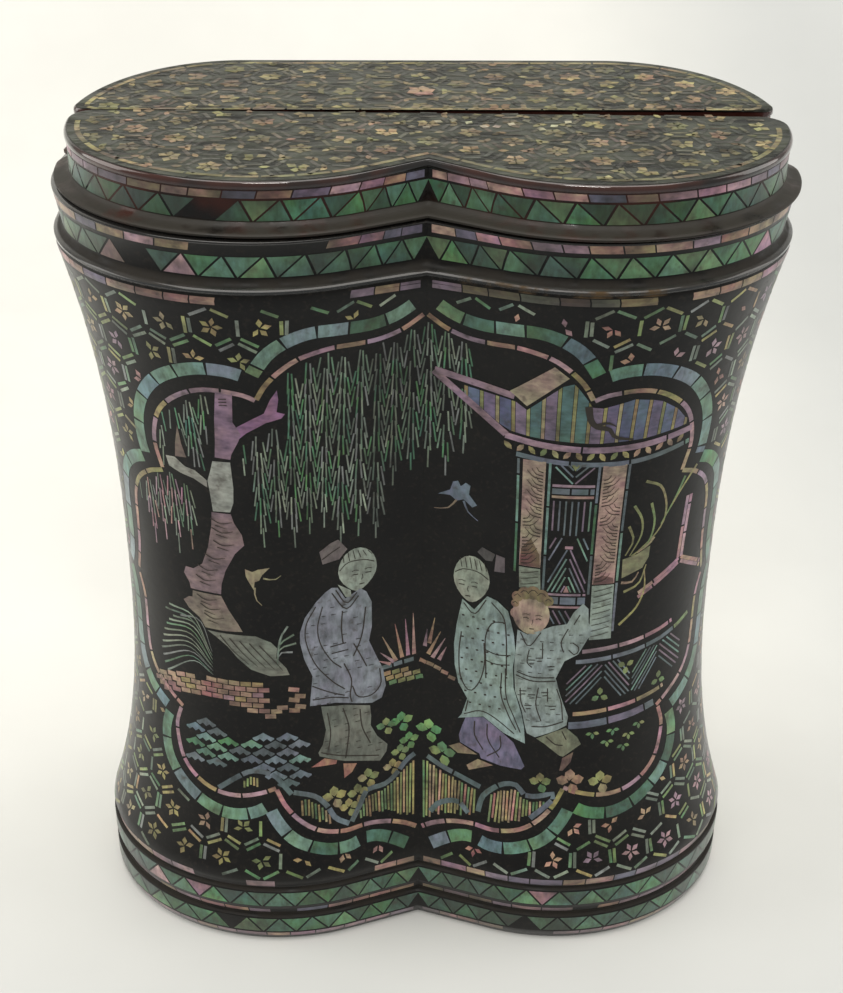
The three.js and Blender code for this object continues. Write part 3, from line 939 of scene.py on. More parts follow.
OCHRE = ("94875a", "847a50", "9c8c5a", "77704c")
DARK_RING = ("5b5a4e", "4c4e45", "66604e")
for label, surface, lattice in (
    ("front_lid", front_wall, (-34.4, -13.8, 8.6, 10.0)), ("rear_lid", rear_wall, (-0.6, 15.0, 8.3, 9.6)),
):
    top = Top(surface.lie)
    edge, field = lid_outline(surface, -2.2), lid_outline(surface, -3.2)
    first_x, first_y, column, pitch = lattice
    stars, rings, forks = [], [], []
    for i in range(-10, 19):
        for j in range(-4, 5):
            x, y = first_x + column * i, first_y + pitch * (j + 0.5 * (i % 2))
            if abs(x) > 80 or abs(y) > 40:
                continue
            tone, start = pick(OCHRE, 0.2), chance.uniform(0, 0.6)
            for petal_number in range(6):
                angle = start + petal_number * math.tau / 6
                at = (x + STAR * math.cos(angle), y + STAR * math.sin(angle))
                if encloses(field, at) and chance.random() < 0.9:
                    stars.append((*at, angle, 1, 1, tone * chance.uniform(0.75, 1.2)))
            for ring_number in range(6):
                angle = (ring_number + 0.5) * math.tau / 6
                at = (x + RING * math.cos(angle), y + RING * math.sin(angle))
                if encloses(field, at) and chance.random() < 0.85:
                    rings.append((*at, angle + math.pi / 2, 1, 1, pick(DARK_RING, 0.2)))
            for fork_number in range(2):
                angle = fork_number * math.pi
                at = (x + column * 0.655 * math.cos(angle), y)
                for arm in range(3):
                    turned_arm = angle + arm * math.tau / 3
                    tip = (at[0] + FORK * math.cos(turned_arm), at[1] + FORK * math.sin(turned_arm))
                    if encloses(field, tip) and chance.random() < 0.6:
                        forks.append((*tip, turned_arm, 1, 1, pick(OCHRE, 0.25)))
    if surface is rear_wall:
        proud = [
            (-0.6 + 1.9 * math.cos(a), 15 + 1.9 * math.sin(a), a, 1.25, 1.3, paint("b89274"))
            for a in np.linspace(0.3, 0.3 + math.tau, 6, endpoint=False)
        ]
    else:
        proud = [
            (-4 + 3 * k + chance.uniform(0, 0.6), chance.uniform(-7, -1.5), chance.uniform(0, 3),
             0.9, 0.9, paint("b3ad8c"))
            for k in range(12)
        ]
    lay("stars_" + label, top, stars, diamond, 2.5, 2.1, dull_shell, looseness=0.3, seed=6)
    lay(
        "proud_pieces_" + label, top, proud, diamond, 2.5, 2.1, dull_shell,
        lift=SECOND_LIFT, looseness=0.3, seed=14,
    )
    lay("rings_" + label, top, rings, sliver, 3.5, 0.9, dull_shell, looseness=0.12, seed=7)
    lay("forks_" + label, top, forks, petal, 2.3, 1.25, dull_shell, looseness=0.3, seed=8)
    strip = Drawing()
    if surface is front_wall:
        edge = [point for point in edge if point[1] < SPLIT_Y - SLIT / 2 - 5.5]
        break_at = np.argmax(np.hypot(*np.diff(edge + edge[:1], axis=0).T)) + 1
        edge = edge[break_at:] + edge[:break_at]
    strip.chain(edge, 1.1, OCHRE, 7)
    strip.lay("edge_strip_" + label, top, dull_shell, "pink_shell", grid=(0, 0))


# The picture: broad pieces of shell for the tree, figures and house, with engraved lines over them.
# The old tree on the left has a stained trunk of five pieces, and stands on a bank with grass.
engraved = Drawing()


def line(*points, width=0.28, taper=None):
    engraved.band(smooth(points, 1.0), width, paint("2a2119"), taper)


def tone_of(code):
    return np.array(paint(code))


tree_cut = Drawing()
TREE = (
    ("a07a90", ((-45.5, 155.2), (-41.8, 155.2), (-42.4, 147.5), (-40.8, 144.5), (-41.5, 142.5),
                (-43.4, 139), (-43.8, 137.5), (-47.5, 137.8), (-47, 142), (-46.5, 148))),
    ("a96fa0", ((-42.2, 145.9), (-38, 148.5), (-35.3, 150), (-33.8, 153.5), (-32.2, 156),
                (-32, 153.5), (-32.5, 150.3), (-30.7, 149.7), (-31.5, 148.6), (-35, 147.5),
                (-39.5, 144.8), (-41.5, 143))),
    ("b3b8ac", ((-48.2, 136.7), (-43.9, 136.8), (-43.7, 130), (-44, 126), (-45, 123.3),
                (-49.4, 123.1), (-49.7, 128), (-50, 131.2), (-49, 134))),
    ("a9a89a", ((-60.5, 135.8), (-58, 136), (-55.5, 134), (-53, 133.5), (-50.2, 131.3),
                (-50.2, 129.3), (-53.5, 131.2), (-57, 132), (-60, 133.2))),
    ("7b6156", ((-55.9, 144.8), (-55.6, 140), (-54.8, 136.5), (-57.8, 136.2), (-57.2, 140))),
    ("94767c", ((-49.8, 122.8), (-44.9, 122.8), (-44.3, 120.5), (-42.5, 117.3), (-42.1, 114.5),
                (-44.6, 112), (-47.4, 107), (-48.7, 103), (-49, 100.3), (-57.5, 100.3),
                (-57.8, 102), (-59.2, 104.3), (-58.5, 106.2), (-56.3, 106.1), (-53.6, 108),
                (-51.6, 113), (-50.2, 119))),
    ("8f7e6c", ((-57, 99.8), (-49, 99.8), (-47.2, 96), (-45, 92.5), (-43.8, 90.2), (-49, 89.9),
                (-54, 90), (-55.5, 92.5), (-58.5, 94.5), (-60, 96.5), (-58.3, 97.8), (-57.2, 98))),
    ("8a8f7e", ((-53.5, 89.3), (-46, 89.2), (-40.5, 89.2), (-36.5, 87.5), (-35, 85.8),
                (-35.3, 83), (-32.8, 80), (-32, 78), (-37, 77.8), (-42, 79.5), (-45.5, 82.5),
                (-48, 85.5), (-51, 87.8))),
)
for code, outline in TREE:
    tree_cut.cut(outline, tone_of(code))
for z in (120, 117.5, 114, 110, 106.5, 103.5, 98, 95.5, 93):
    s = np.interp(z, (90, 100, 108, 113, 123), (-50, -53.5, -51.5, -47, -47.3))
    line((s - 3, z + 1.2), (s - 0.5, z), (s + 2.5, z + 0.6), width=0.3, taper=0.1)
    line((s - 2, z - 0.6), (s + 1, z - 1.3), width=0.25, taper=0.1)
for z in (153.4, 152.6, 151.8):
    line((-45, z), (-43.2, z + 0.1), width=0.2)
for k in range(5):
    line(
        (-50 + 2.6 * k, 88.6 - 0.5 * k), (-46.5 + 2.6 * k, 84.5 - 0.5 * k), (-42.5 + 2.2 * k, 81 - 0.4 * k),
        width=0.3, taper=0.1,
    )

grass = Drawing()
for k, (s, z) in enumerate((
    (-67, 73.6), (-68, 75.5), (-68.5, 77.5), (-69, 79.5), (-68.5, 81.5), (-68, 83.5), (-67.5, 85.5),
    (-66.5, 87.5), (-65.5, 89), (-64, 90.5), (-66.5, 92), (-65, 93.6), (-61.5, 91.5),
)):
    root = (-52.5 - 0.4 * (k % 2), 76.6 + 0.55 * k)
    bend = ((s + root[0]) / 2 + 1.5, (z + root[1]) / 2 + 4.2)
    grass.band(smooth((root, bend, (s, z))), 0.1, pick(REED, 0.2), 0.55)
for s, z in ((-32, 92), (-30.5, 89.5), (-30, 87), (-33.5, 90), (-31, 84.5)):
    grass.band(smooth(((-35.2, 80.5), (-34.3, (z + 84) / 2), (s, z))), 0.15, pick(REED, 0.2), 0.55)

# The bank's pieces are small bricks of pink and tan shell, and the pond has rows of scalloped waves.
bricks = []
UPPER_BANK = np.array(((-73, 71.5), (-62, 75), (-54, 76), (-36, 76), (-29.5, 74)))
LOWER_BANK = np.array((
    (-73, 70), (-68, 67.5), (-60, 68.5), (-52, 69.5), (-46, 69), (-42, 67), (-36, 65.5), (-29, 67),
))
for row in range(7):
    for s in np.arange(-72 + 1.6 * (row % 2), -29, 3.15):
        z = np.interp(s, *UPPER_BANK.T) - 0.8 - 1.5 * row
        worn_out = -38 < s < -32.5 and z > 69
        if z > np.interp(s, *LOWER_BANK.T) and chance.random() < 0.93 and not worn_out:
            slope = np.interp(s, (-73, -62, -54, -36, -29), (0.3, 0.15, 0, 0, -0.2))
            bricks.append((s, z, slope, 1, 1, pick(WARM + WARM + PINK[:1] + GOLD[:1], 0.25) * 0.85))
for row in range(3):
    for k in range(4 if row else 3):
        bricks.append((-7.9 + 2.1 * k + 0.7 * row, 73.3 - 1.45 * row, 0.12, 0.62, 0.95, pick(LEAF + GOLD, 0.15)))
for k in range(5):
    bricks.append((0.6 + 1.7 * k, 75.0 - 0.3 * k - 0.12 * k * k, -0.3, 0.58, 0.85, pick(WARM, 0.2) * 0.85))
lay("bank_bricks", body_wall, bricks, brick, 2.85, 1.25, pink_shell, looseness=0.06, seed=9)

wave = unit_shape(
    "wave", 7, lambda x: (-0.25, -0.5, -0.2, -0.5, -0.2, -0.5, -0.25)[int(round((x + 0.5) * 6))],
    lambda x: 0.5 - 1.35 * abs(x) if abs(x) < 0.45 else -0.1,
)
waves = []
for row in range(9):
    for s in np.arange(-58 + 3.1 * (row % 2), -27, 6.2):
        z = 64.5 - 2.15 * row
        low = np.interp(s, (-60, -52, -46, -40, -36, -30), (52, 50, 53, 52, 48, 46))
        high = np.interp(s, (-60, -52, -45, -38, -28), (64.8, 63, 59.5, 61, 61.5))
        if low < z < high:
            waves.append((s, z, 0, 1, 1, pick(SLATE + SLATE + GREEN[:1] + SEA, 0.15) * 0.95))
lay("pond_waves", body_wall, waves, wave, 5.6, 2.5, green_shell, looseness=0.03, seed=10)

# The rocks in front are grey outlines filled with upright slivers of gold and green.
rocks = Drawing()
ROCKS = (
    ((-51, 44.5), (-46, 48.5), (-42, 50.5), (-37, 49.5), (-34, 46), (-32.5, 44)),
    ((-32, 44.5), (-27, 43), (-24, 40), (-22, 36), (-18.5, 33.5)),
    ((-18, 34), (-15.5, 38), (-13.5, 41.5), (-9, 42), (-6, 44), (-3.5, 47), (-1.2, 48.5)),
    ((2, 48), (6, 46), (12, 44), (16.5, 42.5)),
    ((15.5, 36), (16.2, 40), (18, 42.5), (21, 45), (24.5, 45.5), (27, 43), (31, 43.3), (33.6, 44.2),
     (34, 42.8), (31.8, 40.2), (28.5, 36.9)),
    ((3, 33), (5.5, 36), (10, 37.5), (13, 35)),
)
for path in ROCKS:
    rocks.chain(smooth(path, 0.5), 1.35, SLATE[:3], 9, gap=0.25)
uprights = []
ROCK_FEET = np.array((
    (0, 30), (2, 31), (8, 33.5), (14, 34), (20, 33.7), (26, 35.3), (31, 38.5), (34, 42.5), (37, 47),
    (42, 45.5), (50, 45),
))
for low_s, high_s, top_path in (
    (-46, -34.5, ROCKS[0]), (-30, -20, ROCKS[1]), (-15.5, -1.2, ROCKS[2]), (1.2, 15, ROCKS[3]),
    (18.5, 33.5, ROCKS[4][2:8]),
):
    for s in np.arange(low_s, high_s, 0.82):
        high = np.interp(s, *np.array(top_path).T) - 1.3 - chance.uniform(0, 0.6)
        base = np.interp(abs(s), *ROCK_FEET.T) + chance.uniform(0, 1.5)
        if high - base > 1.5:
            uprights.append((s, (high + base) / 2, math.pi / 2, high - base, 1, pick(GOLD + LEAF + WARM[:2], 0.25)))
lay("rock_slivers", body_wall, uprights, brick, 1, 0.5, pink_shell, looseness=0.03, seed=11)

# Sprays of leaves, three or four to a stem, stand along the rocks, and small ones under the balcony.
leaves = []


def spray(s, z, size, turns, palette, slim=0.8):
    """Leaves round a point, one for each turn in degrees."""
    for degrees in turns:
        angle = math.radians(degrees)
        leaves.append((
            s + 0.62 * size * math.cos(angle), z + 0.62 * size * math.sin(angle), angle, size, size * slim,
            pick(palette, 0.15),
        ))


BRIGHT = ("5fae5a", "7ab85c", "4f9a52")
for s, z, size, palette in (
    (-4.5, 58.3, 2.7, BRIGHT), (-8.2, 58, 2.3, LEAF), (-2.6, 52.5, 2.3, BRIGHT), (-4.8, 49.7, 2.2, LEAF),
    (2.3, 55.3, 3.0, BRIGHT), (5.7, 49.6, 3.1, LEAF), (-6.8, 46, 2.3, GOLD), (-13, 44.6, 2.6, GOLD),
    (-15.8, 41, 2.6, GOLD), (-21.8, 41.5, 2.9, GOLD), (-18.3, 37.8, 2.4, GOLD),
    (30.5, 46.8, 2.6, LEAF + WARM[:1]), (38, 47.3, 3.3, WARM), (45.8, 46.6, 3.0, GOLD),
):
    spray(s, z, size, (20, 92, 165, -70), palette)
for s, z in ((43.5, 61), (49, 61.3), (56.5, 61.6), (47.5, 58.2), (53.5, 59.2), (52, 56.2)):
    spray(s, z, 1.7, (-15, -90, -165), LEAF, 0.55)
for s, z, turn_by in ((51.8, 79.2, 180), (45, 71.5, 0), (62.3, 72.5, 0)):
    spray(s, z, 2.2, (turn_by + 90, turn_by + 205, turn_by - 25), LEAF[:3], 0.7)
lay("leaves", body_wall, leaves, petal, 1, 1, green_shell, looseness=0.15, seed=12)

# A spiky shrub stands on a low wall at the fold, and two birds fly over the garden.
shrub = Drawing()
for foot, tip in (
    ((-6.2, 76.2), (-9.4, 79.7)), ((-5.7, 76.4), (-8.9, 84.2)), ((-4.3, 77), (-6, 87.2)),
    ((-2.9, 77.2), (-3.6, 88)), ((-1.5, 77.2), (-1.8, 89.2)), ((-7, 75.8), (-10, 77.5)),
    ((1.0, 79.4), (1.5, 84.5)), ((2.0, 80.5), (3.2, 88.2)), ((1.8, 77.3), (4.6, 84.6)),
    ((2.8, 76.5), (5.7, 83)), ((4.3, 76.3), (6.0, 80.5)),
):
    shrub.band((foot, tip), 0.95, pick(PINK + WARM, 0.15), 0.12)
shrub.chain(((-9, 75.2), (-1.6, 75.9)), 1.2, SLATE, 2.5)
birds = Drawing()
birds.cut(((-42.3, 108), (-40.5, 107.3), (-39, 108), (-36, 108.5), (-38, 106.5), (-38.8, 105),
           (-40, 104.5), (-40.3, 102.3), (-41.5, 104.5), (-42.2, 106)), tone_of("a89a72"))
birds.band(smooth(((-37.8, 105.6), (-35, 105.2), (-33.2, 106.3))), 0.5, tone_of("a89a72"), 0.15)
birds.band(smooth(((-40, 103), (-40, 100), (-38.4, 98))), 0.5, tone_of("a89a72"), 0.15)
birds.cut(((3.4, 123.3), (6, 125), (6.6, 127.3), (7.7, 127.8), (8.3, 126.4), (9.4, 127.6), (10.4, 127),
           (10.1, 124.6), (11.9, 122), (10.9, 121.2), (9, 123), (7.5, 122.3), (6, 123.5)), tone_of("74819a"))
birds.band(smooth(((7.5, 122.6), (5.6, 119.9), (2.6, 119.2))), 0.5, tone_of("a08a6a"), 0.15)
birds.band(smooth(((9, 122.6), (10, 119.8), (12.2, 117.8))), 0.5, tone_of("74819a"), 0.12)

# The house on the right has a tiled roof, two engraved columns, a lattice door and a round balcony.
# Its plank has come away from the ridge, and a crack runs down through the tiles.
house, house_over = Drawing(), Drawing()
roof_top = np.array(((2.3, 155.6), (21, 152.2), (22.3, 150.6), (31, 158.6), (32.2, 158.6), (34.6, 156),
                     (36.6, 152.6), (37.6, 151.8), (46, 154.2), (52, 153.2), (57, 149.9), (60, 146.6)))
roof_low = np.array(((2.3, 156), (17.8, 143.0), (24, 142.0), (38, 141.2), (50, 141.8), (62, 143.6)))
RIB, TILE, JOINT = 0.75, 2.4, 0.12
ROOF_LEFT, ROOF_RIGHT = 6.2, 59
TILES = ("6f6790", "5f6a94", "4f7d7a", "7d6a92", "86708c")
s = ROOF_LEFT
while s < ROOF_RIGHT:
    for offset, width, palette in ((0, TILE, TILES), (TILE + JOINT, RIB, GOLD)):
        low_s, high_s = s + offset, s + offset + width
        corners = [(t, np.interp(t, *roof_low.T) + 0.9) for t in (low_s, high_s)]
        corners += [(t, np.interp(t, *roof_top.T) - 0.8) for t in (high_s, low_s)]
        if corners[2][1] - corners[1][1] > 0.6 and corners[3][1] - corners[0][1] > 0.6:
            house.cut(corners, pick(palette, 0.15))
    s += TILE + RIB + 2 * JOINT
for path, width, code in (
    (((2.2, 156.5), (10, 155), (19.5, 153.0)), 1.7, "a8859a"),
    (((2.0, 156.2), (9.5, 149.8), (17.8, 142.6)), 1.7, "b08a8f"),
    (((17.6, 142.4), (26, 141.2), (38, 140.4), (50, 141.0), (62.3, 142.9)), 1.6, "a8859a"),
):
    house_over.chain(smooth(path, 0.5), width, (code, "b08a9a"), 22, gap=0.25)
house_over.cut(((18.5, 154.2), (22.3, 150.9), (31.2, 159.1), (28, 161.8)), tone_of("b5a482"))
eave = smooth(((20, 137.9), (30, 136.9), (40, 136.5), (50, 137.0), (62.3, 139.4)), 0.5)
house.chain(eave, 1.25, SLATE[:2] + SEA[:1], 13)
eave_leaves = []
for k in range(16):
    s = 18.2 + 2.75 * k
    z = np.interp(s, (18, 30, 40, 50, 62), (139.9, 139.0, 138.5, 139.1, 141.2))
    eave_leaves.append((s, z, math.radians(52 if k % 2 else 128), 1, 1, pick(GOLD + WARM[:1], 0.12)))
lay("eave_leaves", body_wall, eave_leaves, petal, 2.6, 1.3, pink_shell, looseness=0.1, seed=13)

for low_s, high_s, top, split, bottom, code, patch in (
    (21.7, 27.2, 136.8, 107.8, 101.8, "bb9c88", "8fa08a"), (40.7, 46.5, 136.2, 103.6, 88, "c8a68e", "a3b5a8"),
):
    above, below = split + 0.2, split - 0.2
    house.cut(((low_s, above), (high_s, above), (high_s, top), (low_s, top)), tone_of(code))
    house.cut(((low_s + 0.3, bottom), (high_s + 0.4, bottom), (high_s, below), (low_s, below)), tone_of(patch))
    for z in np.arange(split + 2, top - 2, 2.6):
        s, way = (low_s + 0.5, 1) if chance.random() < 0.5 else (high_s - 0.5, -1)
        for k in range(3):
            run = 3.9 - 1.1 * k
            line(
                (s, z - 1.1 + 0.9 * k), (s + way * run * 0.6, z - 0.7 + 0.8 * k), (s + way * run, z + 1.0 + 0.5 * k),
                width=0.26, taper=0.1,
            )
    for z in np.arange(bottom + 1, split - 1, 1.6):
        line((low_s + 0.6, z), ((low_s + high_s) / 2, z + 0.4), (high_s - 0.4, z + 1), width=0.16)
house_over.cut(((21.8, 108.1), (27.1, 108.1), (26.8, 111.5), (24.4, 115.8), (22.0, 112.6)), tone_of("7a5a3e"))
house_over.cut(((40.9, 103.7), (46.4, 103.7), (46.0, 105.2), (43, 106.2), (41, 105)), tone_of("7f634a"))
for s, low, high in ((20.6, 106, 136.8), (28.2, 101, 136.6), (39.9, 101, 136.4), (47.2, 90, 136.2)):
    house.chain(((s, low), (s, high)), 0.62, SLATE + GREEN[1:2] + SEA[:2], 12)
for z, width, palette in ((130.7, 0.7, PINK), (129.2, 1.5, SLATE + ("b5b49a",)), (127.7, 0.7, PINK),
                          (100.9, 0.6, PINK), (99.2, 2.0, SLATE[:2]), (97.4, 0.6, PINK)):
    house.chain(((29, z), (39.2, z)), width, palette, 4 if width > 1 else 11)
door = []
DOOR_MIDDLE = 34.1


def bar(s0, z0, s1, z1):
    """A straight sliver of the lattice between two points."""
    door.append((
        (s0 + s1) / 2, (z0 + z1) / 2, math.atan2(z1 - z0, s1 - s0), math.hypot(s1 - s0, z1 - z0), 1,
        pick(SLATE + SEA[:2] + MAUVE[:1], 0.2),
    ))


for k, s in enumerate((29.6, 31.1, 32.6, 34.1, 35.6, 37.1, 38.6)):
    bar(s, 118.5 - (1.2 if k in (2, 3, 4) else 0), s, 126.6)
for side in (-1, 1):
    for k in range(3):
        run = min(4.3, 4.9 - 1.8 * k)
        bar(DOOR_MIDDLE + side * 0.3, 131.4 + 1.8 * k, DOOR_MIDDLE + side * (0.3 + run), 131.4 + 1.8 * k + run)
    for k in range(5):
        apex = 113.4 - 2.5 * k
        run = min(4.4, (apex - 101.6) / 2.1)
        bar(DOOR_MIDDLE + side * 0.4, apex, DOOR_MIDDLE + side * (0.4 + run), apex - 2.1 * run)
    for start, foot in ((1.9, 110.3), (3.4, 113.5)):
        bar(DOOR_MIDDLE + side * start, 116.6, DOOR_MIDDLE + side * 4.9, foot)
for k in range(4):
    bar(29.4 + 1.6 * k, 96.4, 31.6 + 1.6 * k, 92.6)
house.cut(((33.1, 113.6), (35.1, 113.6), (35.1, 114.4), (33.1, 114.4)), tone_of("b98a8e"))
house.cut(((33.4, 101.6), (34.9, 101.6), (34.1, 103.4)), tone_of("c7a088"))
house.cut(((33.2, 136.4), (35.2, 136.4), (34.2, 134.8)), tone_of("8fa05a"))

line((35.8, 152), (36.6, 148.4), (38.2, 146.6), (41, 145.9), (42.6, 143.8), (47, 142.8), width=1.7, taper=0.5)
line((38, 147), (40.5, 147.6), (42.5, 146.6), width=0.9, taper=0.2)

# The balcony is a band of slivers in a herringbone between thin rails, bowed towards us.
def bow(s):
    return np.interp(s, (34, 40, 46, 54, 62, 68, 73), (-0.6, -0.5, 0, 0.9, 2.4, 4.2, 6.5))


for low_s, high_s, z, width, palette in (
    (39.5, 66, 85.2, 1.15, PINK), (38, 73, 82.3, 1.2, SLATE + LEAF[:1]), (38, 66, 67.2, 1.15, PINK + WARM),
    (37, 63, 63.9, 2.0, SLATE[:2] + MAUVE[3:]),
):
    spots = np.arange(low_s, high_s, 2.0)
    house.chain(np.stack((spots, z + bow(spots)), axis=-1), width, palette, 9, gap=0.2)
zigzag = [(35.5, -1), (45.5, 1), (53.5, -1), (61.5, 1), (70, -1)]
for (s0, way), (s1, _) in zip(zigzag, zigzag[1:]):
    for k in range(6):
        shift = 1.75 * k - 3.6
        z0, z1 = (70.8, 80.6) if way < 0 else (80.6, 70.8)
        a, b = (s0 + 0.4, z0 + shift), (s1 - 0.4, z1 + shift)
        steps = [t for t in np.linspace(0, 1, 41) if 70.0 < a[1] + (b[1] - a[1]) * t < 81.2]
        if len(steps) > 8:
            (p, q), (u, v) = [(a[0] + (b[0] - a[0]) * t, a[1] + (b[1] - a[1]) * t) for t in (steps[0], steps[-1])]
            if p > 35 and u < 71:
                bar(p, q + bow(p), u, v + bow(u))
lay("lattice_bars", body_wall, door, sliver, 1, 0.42, green_shell, seed=14)

# A pot of reeds hangs beside the column, in front of a pink post with two arms.
reeds = Drawing()
for path in (
    ((48.8, 111), (50.6, 115), (49, 119)), ((50, 110.7), (52.6, 116), (52.3, 120.5), (49.8, 124.5)),
    ((50.5, 110.7), (54.8, 113.5), (56, 119), (54.4, 124.5)),
    ((51, 110.7), (57.5, 116.5), (59, 122), (56.6, 128.4), (52, 130.8)),
    ((55, 107.5), (53.4, 102.6), (49.3, 100.8)), ((54.6, 106.2), (55.2, 101), (53.5, 96), (48.8, 91.5)),
    ((53, 105.8), (51.5, 103.4), (48.4, 103.5)), ((60, 121.5), (63.5, 127), (67, 131.5)),
    ((58, 118), (61.5, 124.5), (63.5, 129.5)), ((52, 111.3), (55, 113), (56.5, 114.8)),
):
    reeds.band(smooth(path), 0.35, pick(GOLD + LEAF[:2] + WARM[:2], 0.12), 0.75)
for path in (((65.8, 106.5), (66.3, 123.5)), ((65.5, 105.6), (53.5, 99.2)), ((66.3, 105.8), (75.4, 101.0))):
    upright = path[0][0] - path[1][0] < 1 and abs(path[1][1] - path[0][1]) > 9
    for side in (-0.6, 0.6):
        offset = (side, 0) if upright else (0, side)
        reeds.chain([np.add(point, offset) for point in path], 1.0, PINK + WARM[:1], 8, gap=0.2)
reeds.cut(((48.2, 110), (52, 110.9), (55.6, 112.6), (55.5, 109.5), (54, 106.8), (48.4, 104.8)), tone_of("8f9564"))

# Two ladies and a child walk in the garden. Each is a few large pieces, with folds and hems engraved.
# The faces are plain and calm, alike but for their size.
people, people_over = Drawing(), Drawing()


def oval(s, z, wide, high, count=22, jaw=0.0):
    """An oval outline, which the jaw narrows towards its lower end."""
    turns = np.linspace(0, math.tau, count, endpoint=False)
    return [
        (s + wide * math.cos(a) * (1 - jaw * max(0, -math.sin(a)) ** 2), z + high * math.sin(a)) for a in turns
    ]


def face(s, z, wide, high, look):
    """Brows, eyes, nose and mouth at even heights. Look is how far they turn to one side."""
    middle = s + look * wide * 0.22

    def stroke(centre, width, *points):
        line(*((centre + across * wide, z + up * high) for across, up in points), width=width)

    for side in (-1, 1):
        eye = middle + side * wide * 0.36
        stroke(eye, 0.22, (-0.16, 0.02), (0, 0.06), (0.16, 0.01))
        stroke(eye, 0.14, (-0.2, 0.19), (0, 0.24), (0.2, 0.19))
    stroke(middle, 0.14, (0.02, -0.02), (look * 0.12, -0.26), (-look * 0.06, -0.28))
    stroke(middle, 0.24, (-0.14, -0.5), (0, -0.53), (0.14, -0.49))


LILAC, PALE, AQUA, VIOLET, MOSS = (tone_of(code) for code in ("959aa8", "a7b3a2", "9cb6b0", "7d7396", "7c8274"))
people.cut(oval(-14.4, 105, 4.3, 6, jaw=0.35), PALE)
face(-14.0, 103.6, 4.0, 5.6, 0.6)
for k in range(6):
    line((-17.6 + 1.1 * k, 110.6 - 0.25 * abs(k - 2)), (-17.4 + 1.25 * k, 107.6 + 0.2 * k), width=0.16)
line((-18.4, 105.5), (-16.5, 107.4), (-13, 107.4), (-10.7, 106.4), width=0.2)
people.cut(((-23.3, 111.8), (-20.5, 113.6), (-18.6, 114.3), (-16.6, 111.2), (-18.4, 108.8),
            (-22.5, 108.2)), tone_of("7b6f6c"))
line((-22.6, 109.6), (-18.2, 112.2), width=0.22)
people.cut(((-18.8, 101.8), (-16, 99.6), (-15.8, 97.6), (-17.1, 97.9)), PALE)
people.cut(((-20.2, 101.3), (-18.9, 101), (-17.2, 97.5), (-13.8, 99.5), (-12.5, 98.3), (-11.3, 95),
            (-11.3, 88), (-12, 84), (-10.3, 79), (-8.8, 75), (-8.2, 70), (-9.2, 66.7), (-11.5, 65.8),
            (-14.5, 66.5), (-20, 68.2), (-27, 68.5), (-26.6, 72), (-26, 77), (-28, 82), (-29, 87),
            (-28.9, 90), (-27.5, 94), (-24.5, 98), (-22, 100.3)), LILAC)
people.cut(((-24, 67.9), (-18, 67.0), (-12, 65.2), (-11.8, 62), (-12, 59.5), (-10.5, 56), (-8, 53),
            (-8.3, 51), (-10, 48.8), (-18.5, 51), (-25, 53.8), (-25.3, 54.8), (-24, 57), (-23, 61),
            (-23.8, 66)), MOSS)
for outline in (
    ((-27.3, 51), (-23.8, 53), (-20.5, 51.8), (-20.8, 50.8)), ((-19, 50.4), (-15.7, 49.6), (-17, 47.5), (-19, 46.3)),
):
    people.cut(outline, tone_of("b8795e"))
for path in (
    ((-19.3, 100.4), (-17.0, 96.2), (-14.6, 98.6)), ((-20.2, 99.8), (-17.1, 94.6), (-14.2, 97.6)),
    ((-24.6, 96.8), (-27.2, 92), (-27.4, 87), (-25.2, 80.5), (-21.5, 75.5), (-17.8, 71.6)),
    ((-22.8, 96.5), (-24.2, 91), (-23.6, 86), (-21, 81), (-18.4, 78)),
    ((-12.7, 94), (-13.3, 88), (-14.2, 84), (-15.6, 80.6)), ((-15.5, 84.2), (-13.8, 80), (-12.6, 76.8)),
    ((-17.8, 79), (-16.2, 74), (-16.6, 69.5), (-16.2, 67.4)),
    ((-9.6, 75.4), (-9.4, 70.8), (-11.6, 68.2), (-14.8, 68.6), (-16, 72)),
    ((-26.2, 74.2), (-22.6, 72.2), (-17.9, 69.8)), ((-26.2, 70.2), (-21, 70), (-17, 68.8)),
    ((-21, 84.6), (-17.2, 84.9)), ((-20.7, 82.6), (-16.8, 82.8)), ((-17.9, 94.2), (-18.2, 89.5), (-17.9, 85)),
    ((-18.4, 66.2), (-17.2, 60.5), (-17.8, 55), (-18.4, 51.8)), ((-14.4, 64.8), (-14, 59.5), (-12.2, 54.5)),
    ((-22.4, 65.8), (-21.8, 60), (-22.6, 55.2)), ((-24.6, 54.8), (-18.7, 52.6), (-10.2, 50.4)),
):
    line(*path)

people.cut(oval(11.2, 101.4, 4.0, 6.5, jaw=0.3), tone_of("a9b09a"))
face(10.9, 99.4, 3.9, 5.8, -0.5)
for k in range(6):
    line((8.6 + 1.05 * k, 107.0 + 0.2 * min(k, 4 - k)), (9.0 + 1.1 * k, 104.4), width=0.16)
line((7.5, 102.6), (9.4, 103.9), (12.5, 103.8), (14.9, 102.2), width=0.2)
people.cut(((12.3, 109.3), (13.3, 110.9), (16.2, 109.6), (15.6, 107.5), (14.2, 107.4)), tone_of("55504e"))
people.cut(((16.4, 109.6), (18.3, 109.1), (18.4, 105.0), (16.1, 104.8)), tone_of("6f6266"))
people_over.cut(((9.3, 95.4), (12, 93.0), (14.8, 97.5), (17, 96.8), (19.5, 94.5), (20.5, 91), (21.3, 88),
                 (22, 83), (21.5, 79), (22, 73), (24.5, 66), (25.5, 62), (26, 57.5), (20, 59.5),
                 (15.2, 62.8), (9.2, 60.8), (10, 62), (11.2, 67), (9, 71), (8, 76), (7.7, 82),
                 (8.2, 88), (8.8, 92)), AQUA)
